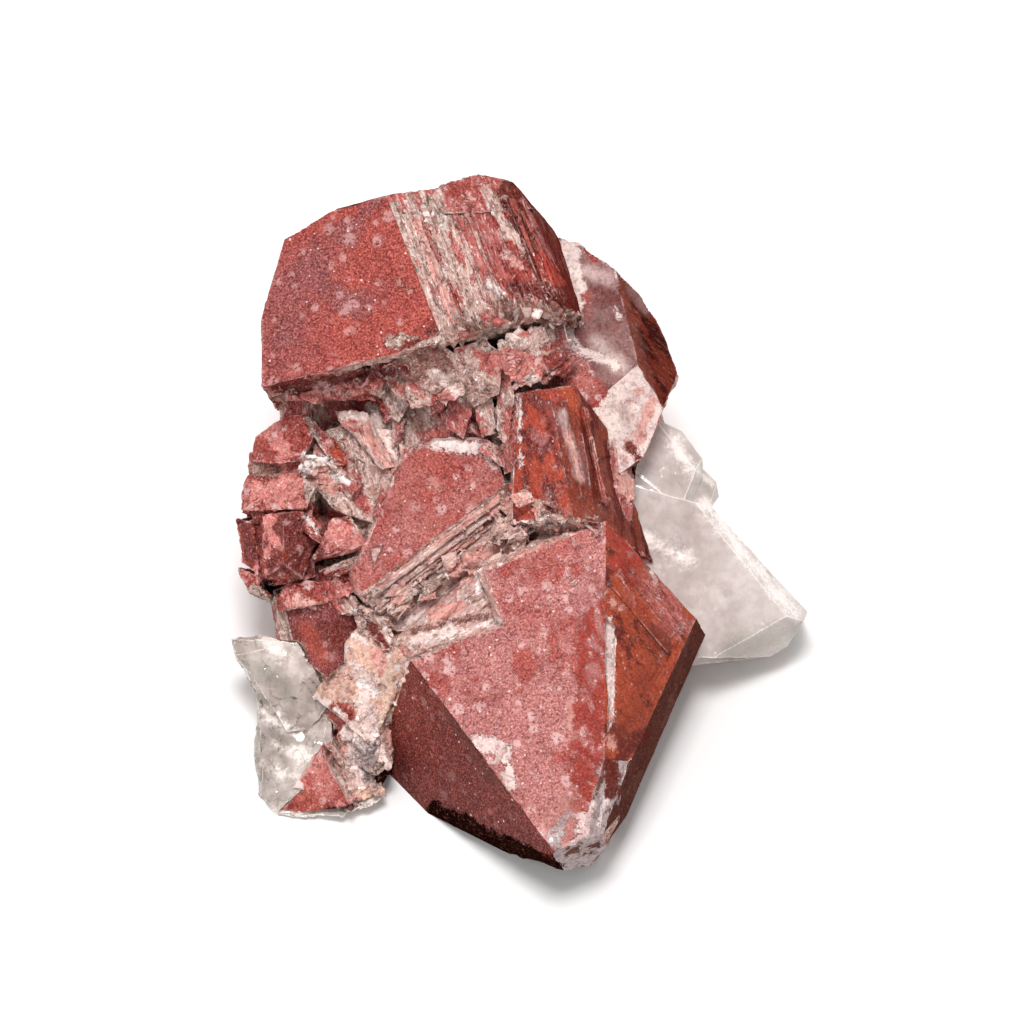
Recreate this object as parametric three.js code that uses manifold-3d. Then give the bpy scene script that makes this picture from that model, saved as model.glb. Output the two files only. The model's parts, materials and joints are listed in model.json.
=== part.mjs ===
// A hand-sized cluster of red quartz: blunt crystals stained and dusted by iron oxide, grown into one
// another on a broken vein matrix, with a clear quartz point on one side and a clear shard on the other.
// It is one natural piece, so it is one solid.
//
// Lengths are in millimetres, +Z is up, and the cluster rests on its cut base at Z = 0. The crystals are
// set out in the display frame of the specimen: x to the right, y up the face that one looks at and z out
// of that face. The display frame leans back from upright by LEAN when the cluster lies on its base.
import * as THREE from "three";
import { ConvexGeometry } from "three/addons/geometries/ConvexGeometry.js";
import { mergeVertices } from "three/addons/utils/BufferGeometryUtils.js";
import Module from "manifold-3d";

const wasm = await Module();
wasm.setup();
const { Manifold, Mesh } = wasm;

const LEAN_DEG = 35;
const BASE_DEPTH = 14; // from the display frame's origin straight down to the base
const ROUGH_BLOCK = 160; // side of the block that each crystal is cut from
const WELD = 1e-4; // corners of a shape nearer than this are one corner
const CHIP_CORNERS = 8;
const CHIP_REACH = [0.35, 0.65]; // a chip's corners from its middle, as shares of its size
const CHIP_SIZES = [0.6, 1.4]; // chips along one path, as shares of their mean size
const CHIP_STRETCH = 0.5; // how much longer a chip is along its path than across it
const CHIP_LAYER = 0.35; // depth of a layer of chips as a share of its spread
const RIB_SIZES = [0.4, 1]; // ribs of one face, as shares of the widest and highest
const RIB_SPACING = 0.7; // most that a rib strays from its even place, as a share of the step between ribs
const RIB_LOSS = [0.25, 0.3]; // most that is missing at a rib's start and end, as a share of its length
const RIB_LEAN = 0.7; // most that a rib's crest leans to one side, as a share of its half width
const RIB_ROOT = 0.6; // how deep a rib is sunk in its face
const POINT_SIDES = 6;
const END_SLOPE_DEG = 38; // lift of a quartz point's end faces over the plane across its axis
const POINT_WIDTHS = [0.8, 1.05]; // a quartz point's prism faces from its axis, as shares of its radius
const LARGE_END_DROP = [0, 0.1]; // its three large end faces below the tip, as shares of its radius
const SMALL_END_DROP = [0.25, 0.45]; // and its three small ones
const STONE = { color: 0x9c4038, roughness: 0.55, metalness: 0.0 };

const LEAN = THREE.MathUtils.degToRad(LEAN_DEG);
const END_SLOPE = THREE.MathUtils.degToRad(END_SLOPE_DEG);
const DOWN = new THREE.Vector3(0, -Math.sin(LEAN), -Math.cos(LEAN)); // straight down, in the display frame

// ---------------------------------------------------------------- solids and random numbers

// A repeatable source of numbers from 0 to 1.
function randomSource(seed) {
  let state = seed >>> 0;
  return () => {
    state = (state + 0x6d2b79f5) >>> 0;
    let t = state;
    t = Math.imul(t ^ (t >>> 15), t | 1);
    t ^= t + Math.imul(t ^ (t >>> 7), t | 61);
    return ((t ^ (t >>> 14)) >>> 0) / 4294967296;
  };
}

// A number between two limits.
function between([low, high], random) {
  return low + (high - low) * random();
}

function point([x, y, z]) {
  return new THREE.Vector3(x, y, z);
}

// A point given by its place over the base (x right, y back, z up), in the display frame.
function overBase([x, y, z]) {
  const place = new THREE.Vector3(x, y, z - BASE_DEPTH);
  return place.applyAxisAngle(new THREE.Vector3(1, 0, 0), -LEAN);
}

function solidOf(geometry) {
  const bare = geometry.clone();
  bare.deleteAttribute("normal");
  bare.deleteAttribute("uv");
  const merged = mergeVertices(bare, WELD);
  return new Manifold(
    new Mesh({
      numProp: 3,
      vertProperties: new Float32Array(merged.attributes.position.array),
      triVerts: new Uint32Array(merged.index.array),
    }),
  );
}

function geometryOf(solid) {
  const { vertProperties, triVerts } = solid.getMesh();
  const geometry = new THREE.BufferGeometry();
  geometry.setAttribute("position", new THREE.BufferAttribute(new Float32Array(vertProperties), 3));
  geometry.setIndex(new THREE.BufferAttribute(new Uint32Array(triVerts), 1));
  geometry.computeVertexNormals();
  return geometry;
}

// Cuts a solid along a plane and keeps the side that the plane's normal points away from.
function cut(solid, plane) {
  const { x, y, z } = plane.normal;
  return solid.trimByPlane([-x, -y, -z], plane.constant);
}

// A crystal cut from a block: each face is a plane through three points, and heart is a point inside.
function crystal(heart, faces) {
  const inside = point(heart);
  const block = new THREE.BoxGeometry(ROUGH_BLOCK, ROUGH_BLOCK, ROUGH_BLOCK);
  let solid = solidOf(block.translate(inside.x, inside.y, inside.z));
  for (const [a, b, c] of faces) {
    const plane = new THREE.Plane().setFromCoplanarPoints(point(a), point(b), point(c));
    if (plane.distanceToPoint(inside) > 0) plane.negate();
    solid = cut(solid, plane);
  }
  return solid;
}

// The smallest convex solid round a set of points.
function hull(points) {
  return solidOf(new ConvexGeometry(points));
}

function join(solids) {
  return solids.reduce((all, next) => all.add(next));
}

// The main piece of a solid, without the loose crumbs round it.
function largestPiece(solid) {
  const pieces = solid.decompose();
  return pieces.reduce((largest, piece) => (piece.volume() > largest.volume() ? piece : largest));
}

// Growth ribs on a prism face: long low wedges side by side. The first rib runs from start to end and the
// others follow it across the face; out is the face's outward direction.
function ribs({ start, end, across, out, count, width, height, seed }) {
  const random = randomSource(seed);
  const [from, to, aside, away] = [start, end, across, out].map(point);
  const [startLoss, endLoss] = RIB_LOSS;
  away.normalize();
  const sideways = aside.clone().normalize();
  const sunk = away.clone().multiplyScalar(-RIB_ROOT);
  return Array.from({ length: count }, (_, i) => {
    const shift = aside.clone().multiplyScalar((i + RIB_SPACING * random()) / count);
    const head = from.clone().lerp(to, startLoss * random() * random()).add(shift);
    const foot = from.clone().lerp(to, 1 - endLoss * random() * random()).add(shift);
    const half = sideways.clone().multiplyScalar(width * between(RIB_SIZES, random));
    const crest = away.clone().multiplyScalar(height * between(RIB_SIZES, random));
    const lean = half.clone().multiplyScalar(between([-RIB_LEAN, RIB_LEAN], random));
    return hull([head, foot].flatMap((middle) => [
      middle.clone().add(half).add(sunk),
      middle.clone().sub(half).add(sunk),
      middle.clone().add(half),
      middle.clone().sub(half),
      middle.clone().add(lean).add(crest),
    ]));
  });
}

// One sharp-cornered chip of stone, stretched along a given direction.
function chip(middle, size, along, random) {
  const corners = Array.from({ length: CHIP_CORNERS }, () => {
    const corner = new THREE.Vector3(random() - 0.5, random() - 0.5, random() - 0.5).normalize();
    corner.multiplyScalar(size * between(CHIP_REACH, random));
    corner.addScaledVector(along, corner.dot(along) * CHIP_STRETCH);
    return corner.add(middle);
  });
  return hull(corners);
}

// Chips crumbled along a path: between each pair of its points, chips lie within spread of the line.
function crumble({ path, spread, count, size, seed }) {
  const random = randomSource(seed);
  const route = path.map(point);
  const along = route[route.length - 1].clone().sub(route[0]).normalize();
  return Array.from({ length: count }, (_, i) => {
    const place = ((route.length - 1) * (i + random())) / count;
    const leg = Math.floor(place);
    const middle = route[leg].clone().lerp(route[leg + 1], place - leg);
    middle.x += spread * between([-1, 1], random);
    middle.y += spread * between([-1, 1], random);
    middle.z += CHIP_LAYER * spread * between([-1, 1], random);
    return chip(middle, size * between(CHIP_SIZES, random), along, random);
  });
}

// A quartz point: a six-sided prism from its root with six uneven end faces that meet near its tip.
function quartzPoint({ root, tip, radius, turn, seed }) {
  const random = randomSource(seed);
  const axis = tip.clone().sub(root);
  const length = axis.length();
  axis.normalize();
  const upright = new THREE.Quaternion().setFromUnitVectors(new THREE.Vector3(0, 0, 1), axis);
  const bar = new THREE.CylinderGeometry(2 * radius, 2 * radius, length, POINT_SIDES).rotateX(Math.PI / 2);
  bar.translate(0, 0, length / 2).applyQuaternion(upright).translate(root.x, root.y, root.z);
  let solid = solidOf(bar);
  for (let side = 0; side < POINT_SIDES; side += 1) {
    const angle = turn + (2 * Math.PI * side) / POINT_SIDES;
    const outward = new THREE.Vector3(Math.cos(angle), Math.sin(angle), 0);
    const reach = radius * between(POINT_WIDTHS, random);
    const prismFace = outward.clone().applyQuaternion(upright);
    solid = cut(solid, new THREE.Plane(prismFace, -prismFace.dot(root) - reach));
    const endFace = outward.clone().multiplyScalar(Math.cos(END_SLOPE)).setZ(Math.sin(END_SLOPE));
    endFace.applyQuaternion(upright);
    const drop = radius * between(side % 2 ? SMALL_END_DROP : LARGE_END_DROP, random);
    solid = cut(solid, new THREE.Plane(endFace, drop - endFace.dot(tip)));
  }
  return solid;
}

// ---------------------------------------------------------------- the crystals of the display face

// The largest crystal, at the lower right, with its blunt tip towards the viewer. It grew in two steps
// that share their broad top face, so its upper left edge has a notch.
function mainCrystal() {
  const heart = [5, -18, 6];
  const broadFace = [[10, -2.2, 12.5], [-8.8, -15.6, 13], [5.6, -34.5, 19.5]];
  const leftSlope = [[-8.8, -15.6, 13], [5.6, -34.5, 19.5], [-10.8, -28.5, 1.5]];
  const underside = [[-8.6, -30.6, 3.3], [4, -34.1, 17.8], [-1, -35.2, 2]];
  const underLeft = [[-10.7, -28.8, 1.5], [-7, -32.2, 2.5], [-9, -29.8, -6]];
  const rightFace = [[10.4, -6, 13.4], [10.2, -29, 18.8], [20.3, -13, 8]];
  const rightBevel = [[19.2, -12.1, 8.6], [13.2, -24.5, 15.6], [20.6, -13.1, 3]];
  const rightBack = [[20.6, -13.1, 3], [11.3, -33.5, 12.6], [18, -17.5, -9]];
  const upperRight = [[10.8, -2.4, 12.5], [20.5, -12.9, 7.5], [13.5, -7.5, -6]];
  const chippedTip = [[10.2, -25.5, 17.9], [7.7, -34, 19.4], [12, -29.5, 16.6]];
  const tip = [[5, -34.4, 19], [5.7, -36.2, 15], [10.4, -34.9, 13]];
  const tipRight = [[9, -35.6, 15], [11.9, -31.5, 15], [10.6, -33.8, 9]];
  const tipBack = [[5.7, -36.2, 15], [-2.6, -34.5, 6], [4, -33, -4]];
  const leftEnd = [[-8.8, -15.6, 13], [-11.6, -24, 3], [-10.4, -17, 3]];
  const rear = [[0, 0, -14], [10, 0, -14], [0, -10, -9]];
  const lowerStep = [[-8.8, -15.7, 13], [0.5, -12.2, 13.8], [-5.5, -13.4, 5]];
  const upperStepSide = [[-1.6, -7, 12], [0.8, -13.4, 13.9], [-2.4, -9.8, 5]];
  const upperStepTop = [[-1.6, -7, 12], [10, -2.2, 12.5], [3.4, -3.7, 6]];
  const shared = [broadFace, leftSlope, rightFace, rightBevel, rightBack, upperRight];
  const tipAndBelow = [chippedTip, tip, tipRight, tipBack, rear];
  const lower = crystal(heart, [...shared, ...tipAndBelow, underside, underLeft, leftEnd, lowerStep]);
  const upper = crystal(heart, [...shared, ...tipAndBelow, upperStepSide, upperStepTop]);
  return join([lower, upper]);
}

// The blunt crystal at the top left, with its broad end face towards the viewer and its ribbed side to
// the right.
function upperCrystal() {
  const block = crystal([-9, 20, 4], [
    [[-5.5, 15.4, 16], [-23.2, 11.2, 13], [-11, 29.5, 12]],
    [[-5.5, 15.3, 16], [-23.2, 11, 13], [-14, 12.3, 5]],
    [[-23.3, 11, 13], [-23.5, 18, 12], [-22.9, 14, -4]],
    [[-23.4, 18, 12], [-21.2, 25.6, 11], [-21.5, 20, -4]],
    [[-21.2, 25.6, 11], [-15, 29.2, 11], [-17, 26.5, -4]],
    [[-15, 29.2, 11.3], [-10.5, 30, 12], [-12, 29, -6]],
    [[-10.5, 30, 12], [-2, 32.1, 9], [-6, 30.4, -8]],
    [[-2, 32.1, 9], [1.2, 31.4, 8], [0, 30.6, -8]],
    [[1.2, 31.4, 8], [6.2, 26, 5], [3.2, 28, -6]],
    [[-11, 29.5, 12], [-5.5, 15.4, 16], [3, 29, 9.1]],
    [[2, 30.8, 8.4], [6, 20, 11.6], [7.1, 22, 5]],
    [[6.2, 26, 5], [7.6, 19.6, 5], [6, 22, -6]],
    [[-5.3, 15.3, 16], [6.5, 18.6, 11.5], [0, 14.2, 4]],
    [[0, 20, -12], [10, 20, -12], [0, 30, -15]],
  ]);
  const crest = hull([
    [-7, 29.9, 10.9], [-5.2, 31.2, 10.2], [-2, 32.1, 9.4], [1.2, 31.4, 8.6], [3.4, 28.6, 9],
    [-5.6, 28, 11.8], [-5, 30.6, -6], [0, 31, -6], [3, 28, -6],
  ].map(point));
  return join([block, crest]);
}

// The smoky crystal at the upper right, half hidden by its neighbours, with a pale broken face at its
// foot.
function smokyCrystal() {
  return crystal([10, 12, -3], [
    [[9, 24.5, 0.5], [14.8, 10, 6.5], [6, 12, 6.5]],
    [[11.7, 22.4, 1.2], [14.9, 8, 7.4], [17.2, 14.5, 0]],
    [[17.3, 11.4, 0], [14.2, 4.4, 3], [15.6, 8, -8]],
    [[6.2, 26, -1], [8.3, 25.3, -0.5], [8, 23.5, -10]],
    [[8.3, 25.3, -0.5], [13.9, 20.7, -0.5], [11, 20, -10]],
    [[13.9, 20.7, -0.5], [15.8, 18.2, -0.5], [13, 17, -10]],
    [[15.8, 18.2, -0.5], [17.4, 13.4, -0.5], [15, 14, -10]],
    [[8.8, 9.2, 7.5], [13, 12.8, 5.4], [14, 4.5, 6.5]],
    [[14.2, 4, 3], [8, 0, 6], [12, 2, -8]],
    [[6.4, 20, 3], [5.6, 6, 8], [2, 12, 1]],
    [[0, 10, -16], [10, 10, -16], [0, 20, -16]],
  ]);
}

// The glassy red crystal in the middle right, with two ridges running down its length.
function ridgedCrystal() {
  const body = crystal([7, 4, 5], [
    [[1.7, 10.4, 10], [4.8, 10.8, 12.2], [6.8, 0, 13.5]],
    [[4.8, 10.8, 12.2], [6.8, 0, 13.5], [7.5, 11, 11.6]],
    [[7.5, 11, 11.5], [9.7, -1.5, 12.5], [12.8, 0, 6]],
    [[7.6, 11.1, 11.4], [11.4, 6, 7], [9, 8, 0]],
    [[11.4, 6, 7], [13.3, 0, 5.5], [12, 3, -4]],
    [[1.5, 10.5, 10], [7.6, 11.3, 11], [4, 11, 2]],
    [[1.5, 10.5, 10], [1.4, 0, 10.5], [0.6, 5, 3]],
    [[0, -1.2, 12], [10, -2.8, 12], [5, -4.5, 4]],
    [[0, 5, -10], [10, 5, -10], [0, 10, -10]],
  ]);
  const rod = hull([
    [11.1, 5.9, 7.2], [12.3, 5.5, 6.4], [13.4, 2, 6], [13.1, -2, 6.4], [12.2, -2.6, 7.8],
    [11.4, 0.4, 8.4], [10.8, 4.6, 8.2], [12, 5, 0], [13, -1, 0], [11, 0, 0],
  ].map(point));
  return join([body, rod]);
}

// The flat crystal in the middle, whose lower right side is its ribbed prism face.
function flatCrystal() {
  return crystal([-6, -1, 2], [
    [[-9.4, 4.6, 8], [0.3, 2.6, 7.3], [-13.9, -9, 9.3]],
    [[-0.3, 1, 7.6], [-13.8, -9.2, 9.4], [2.1, -2.4, 4.2]],
    [[-9.3, 4.5, 8], [-7, 5.7, 8], [-8.5, 5.8, 2]],
    [[-7, 5.8, 8], [-1.3, 6, 7.4], [-4, 6.8, 2]],
    [[-1.3, 5.9, 7.4], [0.3, 2.5, 7.4], [0.9, 5, 1]],
    [[-9.3, 4.5, 8], [-14.2, -6.8, 9], [-13, 0, 2]],
    [[-14.2, -6.8, 9], [-13.9, -9.2, 9.3], [-15.5, -8.5, 3]],
    [[0.3, 2.5, 7.4], [2.2, -2.4, 4], [2.6, 0, -2]],
    [[-13.8, -9.2, 9.4], [-11.8, -11.8, 5.6], [-14, -11, 0]],
    [[0, 0, -10], [10, 0, -10], [0, 10, -10]],
  ]);
}

// The small dark point at the lower left, with a ridge down its middle.
function smallPoint() {
  return crystal([-17, -13, 3], [
    [[-16.8, -9.8, 6.8], [-17, -17.5, 7.6], [-21.5, -11.5, 3.6]],
    [[-16.8, -9.8, 6.8], [-17, -17.5, 7.6], [-13, -13.5, 4.6]],
    [[-17, -17.6, 7.6], [-20, -15.5, 5], [-18.5, -17.2, 1]],
    [[-17, -17.6, 7.6], [-13.2, -14.6, 4.5], [-15, -17.2, 1]],
    [[-21.5, -11, 3], [-20.5, -15, 4], [-22, -13, -3]],
    [[0, -7, -4], [10, -7, -4], [0, -6.6, 4]],
    [[-11, -10, 0], [-12, -16, 0], [-11, -10, 10]],
    [[0, 0, -8], [10, 0, -8], [0, 10, -8]],
  ]);
}

// The clear quartz point at the right: a long milky top face, a bevel along its right edge and a dark
// foot.
function clearPoint() {
  return crystal([20, -8, -2], [
    [[19, 0.3, 2.8], [28.5, -11.5, 2.4], [15, -6, 3.4]],
    [[19, 0.3, 2.8], [28.5, -11.5, 2.4], [30.6, -11.2, -1.2]],
    [[23.5, -14, 3.5], [28.5, -11.6, 2.4], [27, -15.8, -1.6]],
    [[30.4, -12, 0], [29, -14.5, 0], [29.8, -13, -6]],
    [[28.8, -14.8, -1], [27, -15.8, -1.6], [27.6, -15, -8]],
    [[27, -15.8, -1.6], [19, -15.5, -1.6], [23, -15.4, -8]],
    [[21.4, -1.2, -1], [31, -11.4, -2], [24.8, -5.6, -9]],
    [[15, 1, 2], [20.7, -0.6, 2], [17, 0.6, -8]],
    [[11, 0, 0], [11, -10, 0], [11, -5, -8]],
    [[0, -5, -9], [10, -5, -9], [0, -15, -6.5]],
  ]);
}

function clearFoot() {
  return hull([
    [15, -12, 0], [19, -16.6, -2.5], [22, -16.4, -3], [27, -15.7, -3], [20, -10, -6], [26, -12, -7],
    [14, -14, -7], [22, -15, -8],
  ].map(point));
}

// The broken clear quartz behind the point, with a stepped outer edge.
function clearRoot() {
  return join([
    hull([
      [15.4, 8.4, -1], [18.2, 7, -1.5], [20.4, 4.2, -1], [19.6, 3, 0.5], [13.5, 3, 1.5], [13, -3, 2],
      [18, -1, 2], [20.5, 0, -2], [14, 8, -7], [18, 4, -9], [13, -4, -9], [20, -2, -8],
    ].map(point)),
    hull([
      [19, 4.6, -1], [21.8, 1.8, -2], [22, 0.4, -2.5], [20.7, -1.4, -1], [17, -1, 1.6], [16, 3, 1.2],
      [19, 3, -8], [18, -3, -8],
    ].map(point)),
  ]);
}

// The clear shard at the lower left: a rounded lip above a glassy body, and a thin rim under the red chunk.
function clearShard() {
  return join([
    hull([
      [-26.8, -13.8, 3.2], [-26.4, -15.4, 4.4], [-24, -13.3, 3.6], [-24, -18.5, 5], [-20, -14, 6],
      [-19, -23, 4.6], [-21, -23, 4.6], [-16.5, -20, 5.4], [-25.6, -17, 0], [-21, -15, -4],
      [-17, -18, -4], [-24, -20, -2],
    ].map(point)),
    hull([
      [-24.2, -19, 2], [-24.6, -26, 2], [-23.6, -29.4, 4.2], [-22.4, -31.2, 5], [-20, -29, 5.6],
      [-18, -26.5, 6], [-16.5, -24, 5], [-16.8, -19.5, 4], [-22, -22, 3.4], [-24, -28, -2],
      [-21, -29.5, -2], [-17, -26, -5], [-18, -20, -6], [-23, -20, -4],
    ].map(point)),
    hull([
      [-22.4, -31.1, 5], [-19, -31.4, 5.8], [-15.6, -31.1, 6.2], [-12.6, -30.2, 6.2], [-11.4, -29, 5.8],
      [-22, -29, 2], [-12, -27, 2], [-17, -30, 1],
    ].map(point)),
  ]);
}

// The red chunk at the very bottom left, with a smooth wedge and a crumbled right side.
function lowerChunk() {
  return join([
    crystal([-18, -27, 3], [
      [[-17.8, -25, 6.6], [-22.2, -31, 4.6], [-14.8, -30.2, 7.4]],
      [[-22.3, -31.2, 4.5], [-14.8, -30.4, 7.3], [-18, -31, 0]],
      [[-17.8, -24.8, 6.6], [-22.4, -31.2, 4.6], [-20.5, -27, -2]],
      [[-17.6, -24.8, 6.6], [-14.7, -30.4, 7.4], [-14, -26, 2]],
      [[0, -25, -5], [10, -25, -5], [0, -30, -3.5]],
      [[-18, -22, 4], [-10, -22, 4], [-14, -22, -4]],
    ]),
    hull([
      [-16.2, -23.4, 5.6], [-12.4, -23.4, 7], [-10.6, -26.6, 6.4], [-12, -28.8, 6], [-14.6, -30.2, 6.2],
      [-15.2, -27, 6.6], [-11, -20, 4], [-16, -19, 4], [-10.5, -26, -2], [-15, -30, 0], [-16, -20, -6],
      [-10, -20, -6], [-12, -28, -1],
    ].map(point)),
  ]);
}

// The broken cluster at the left: blocky crystals cracked along their growth planes.
function brokenCluster() {
  const blocks = [
    [
      [-24.4, 6.3, 4.4], [-21, 8.4, 4.8], [-19.6, 8.4, 5.8], [-18.1, 6.7, 6.8], [-19.6, 3.9, 8],
      [-22.1, 3.5, 7.6], [-24.7, 3.7, 5], [-24.2, 4, -2], [-21, 8, -2], [-18, 4, -2],
    ],
    [
      [-19.8, 8.5, 5.6], [-18.6, 8.1, 5.4], [-15.8, 4.8, 6.6], [-16.8, 4, 7.4], [-18.6, 6.6, 7],
      [-17, 4, 0], [-19, 8, 0],
    ],
    [
      [-25.2, 2.5, 4.6], [-24.4, 2.7, 5.4], [-19.6, 2.7, 7.2], [-18.2, 1.2, 8], [-19, -1, 8.4],
      [-24.8, -1.2, 6.2], [-25.7, 0.4, 4.8], [-25.8, -1, 4.6], [-25, -2, -3], [-17, -2, -3],
      [-17, 3, -3], [-24, 3, -3],
    ],
    [
      [-23.4, -1.5, 8], [-23.4, -7.9, 7.6], [-21.3, -1.2, 9.2], [-21.3, -6.3, 9.2], [-19.5, -1, 8.6],
      [-17.9, -3.8, 7.8], [-19.4, -7.8, 7], [-23.2, -8, -3], [-18, -8, -3], [-23, -2, -3],
      [-16, -2, -3],
    ],
    [
      [-26.2, -1.8, 3.6], [-24.4, -2.2, 5.2], [-24, -7.6, 5.2], [-25.7, -6.2, 3.6], [-25.4, -3, -3],
      [-24, -7, -3], [-22, -2, -3], [-22, -7, -3],
    ],
    [
      [-26.1, -6.7, 3.4], [-24.1, -7.4, 4.8], [-22.8, -9.8, 4.8], [-25, -9.4, 3], [-25, -7, -3],
      [-23, -10, -3], [-21, -8, -3],
    ],
    [
      [-16.5, -1.7, 7.6], [-14.8, -1.7, 7.2], [-13, -4.2, 8.2], [-18.8, -6.1, 8.6], [-17.8, -4, 8.2],
      [-18.5, -6.4, 7.6], [-13.2, -4.8, 7.2], [-13.4, -3.6, 2], [-18, -5.4, 2], [-15.6, -1.6, 2],
    ],
    [
      [-18, -7, 7], [-12.6, -4.9, 7], [-13.2, -6.4, 6.2], [-17, -7.8, 6.4], [-13, -5, 2],
      [-17.6, -7, 2], [-14, -8, 2],
    ],
    [
      [-16.4, 8.9, 5.6], [-13.1, 8.6, 6], [-10.4, 3.3, 7], [-11.6, 3, 7.6], [-14.1, 7, 7.4],
      [-16, 7.9, 6.8], [-16, 8, 0], [-11, 3.4, 0], [-12.6, 8, 0],
    ],
    [
      [-17.1, 5.5, 7], [-15.2, 5, 7], [-15.2, 3.4, 7.8], [-16.8, 3.7, 8], [-16, 5, 2], [-15.6, 3.6, 2],
    ],
    [
      [-19.5, -2, 8.6], [-18.6, -1.3, 8.7], [-17.6, -4.4, 9.6], [-19.6, -3, 9], [-17.4, -2.4, 7.6],
      [-18, -3, 6],
    ],
    [
      [-20.6, -8.2, 5.8], [-16.4, -7.9, 6.8], [-14.2, -9, 6.6], [-17, -10.2, 7], [-20.9, -10.9, 5.8],
      [-22.6, -9, 4], [-22, -11.2, 3.6], [-21, -11, -3], [-13, -10, -3], [-20, -7, -3], [-13, -7, -3],
    ],
    [
      [-25, 4.8, 4.2], [-19.4, 4.4, 6.6], [-18, 2, 7], [-18.6, -2, 7.4], [-24.4, -2.4, 5],
      [-25.2, 0, 4], [-24, 4, -3], [-18, 4, -3], [-24, -2, -3], [-18, -2, -3],
    ],
    [
      [-25, -2, 3.8], [-22.6, -1.6, 7], [-18.6, -1.6, 7.6], [-18.2, -7.6, 6], [-22.6, -8.6, 6.2],
      [-24.4, -8.4, 3.4], [-24, -2, -3], [-18, -8, -3], [-23, -8, -3], [-18, -2, -3],
    ],
    [
      [-18.4, 6.4, 5.2], [-14.4, 8, 5.6], [-10.4, 6.8, 5.8], [-9.8, 3, 6.2], [-12.4, -2.4, 7],
      [-16.4, -1, 7.2], [-19, 2, 6.6], [-18, 6, -3], [-10, 6, -3], [-13, -3, -3], [-18, -2, -3],
    ],
  ];
  return join(blocks.map((corners) => hull(corners.map(point))));
}

// Upright slabs and lumps of cracked vein quartz between the crystals.
function crackedSlabs() {
  const slabs = [
    [
      [-5.4, 12.8, 7.4], [-3, 13.8, 8], [-2.4, 10, 8], [-3.6, 6, 7.6], [-5.2, 7, 7], [-5, 12, 2],
      [-3, 7, 2],
    ],
    [
      [-2.7, 13.4, 8.6], [-0.8, 14, 8.8], [-0.4, 6.4, 8.6], [-2, 6, 8], [-2.6, 9, 8.8], [-2, 13, 2],
      [-1, 7, 2],
    ],
    [
      [-0.7, 13.8, 9.2], [0.6, 14.2, 9.6], [1.5, 10.5, 10.4], [0.8, 5.1, 9.4], [-0.2, 6, 8.8],
      [0.6, 13, 2], [0.6, 6, 2],
    ],
    [
      [1.2, 10.5, 9.6], [1.8, 10.2, 10.2], [1.7, 3, 9.6], [0, 5.4, 7.8], [0.4, 2.4, 7.6], [1, 9, 2],
      [1, 3, 2],
    ],
    [
      [-9.4, 14, 7.2], [-6.6, 15, 7.8], [-5.4, 12, 8.2], [-5.4, 9, 8.2], [-7, 8.4, 8],
      [-8.8, 10.6, 7.8], [-8, 13, 2], [-6, 9, 2],
    ],
    [
      [-12.4, 11.4, 6], [-9.6, 12.8, 7], [-8.8, 9.6, 7.2], [-10, 7.6, 7], [-11.8, 8.8, 6.4],
      [-10, 11, 1], [-10, 8, 1],
    ],
    [
      [3.4, 15.2, 9.6], [5.4, 15.8, 9.4], [6.4, 13, 9.2], [4.6, 11.2, 10.2], [2.8, 12, 10], [4, 14, 3],
      [5, 12, 3],
    ],
    [
      [0.6, 1.6, 7.4], [2, 2.2, 9], [3.4, -1.4, 9.8], [1.4, -2.6, 8.6], [-0.4, -0.6, 7], [1, 0, 3],
      [2, -2, 3],
    ],
    [
      [-11.6, 13, 10.4], [-8.4, 14.7, 13.8], [-5.4, 15, 14.4], [-3.8, 13.6, 12.6], [-3.4, 10.4, 9.8],
      [-8.6, 9.8, 9.2], [-11.4, 11, 8], [-11, 13, 2], [-4, 12, 2],
    ],
    [
      [-4.4, 14.8, 13.6], [-1.6, 15.8, 13.4], [0.4, 14.2, 12], [0, 10.4, 10.2], [-2.6, 9, 9.4],
      [-4.2, 11, 10.4], [-3, 14, 2], [0, 11, 2],
    ],
    [
      [-0.2, 15.6, 13], [3.4, 17, 12.2], [6.4, 17.6, 10.6], [7, 14.4, 9.4], [4.8, 12.2, 10.6],
      [1.6, 11.4, 11], [0, 13, 11.4], [1, 14, 2], [6, 14, 2],
    ],
    [
      [-21.4, 11.6, 8.4], [-15.6, 12.8, 10], [-11.4, 13, 10], [-11.6, 10, 8], [-16, 9.6, 7.4],
      [-21, 9.8, 6.2], [-20, 12, 0], [-12, 12, 0],
    ],
  ];
  return slabs.map((corners) => hull(corners.map(point)));
}

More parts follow.
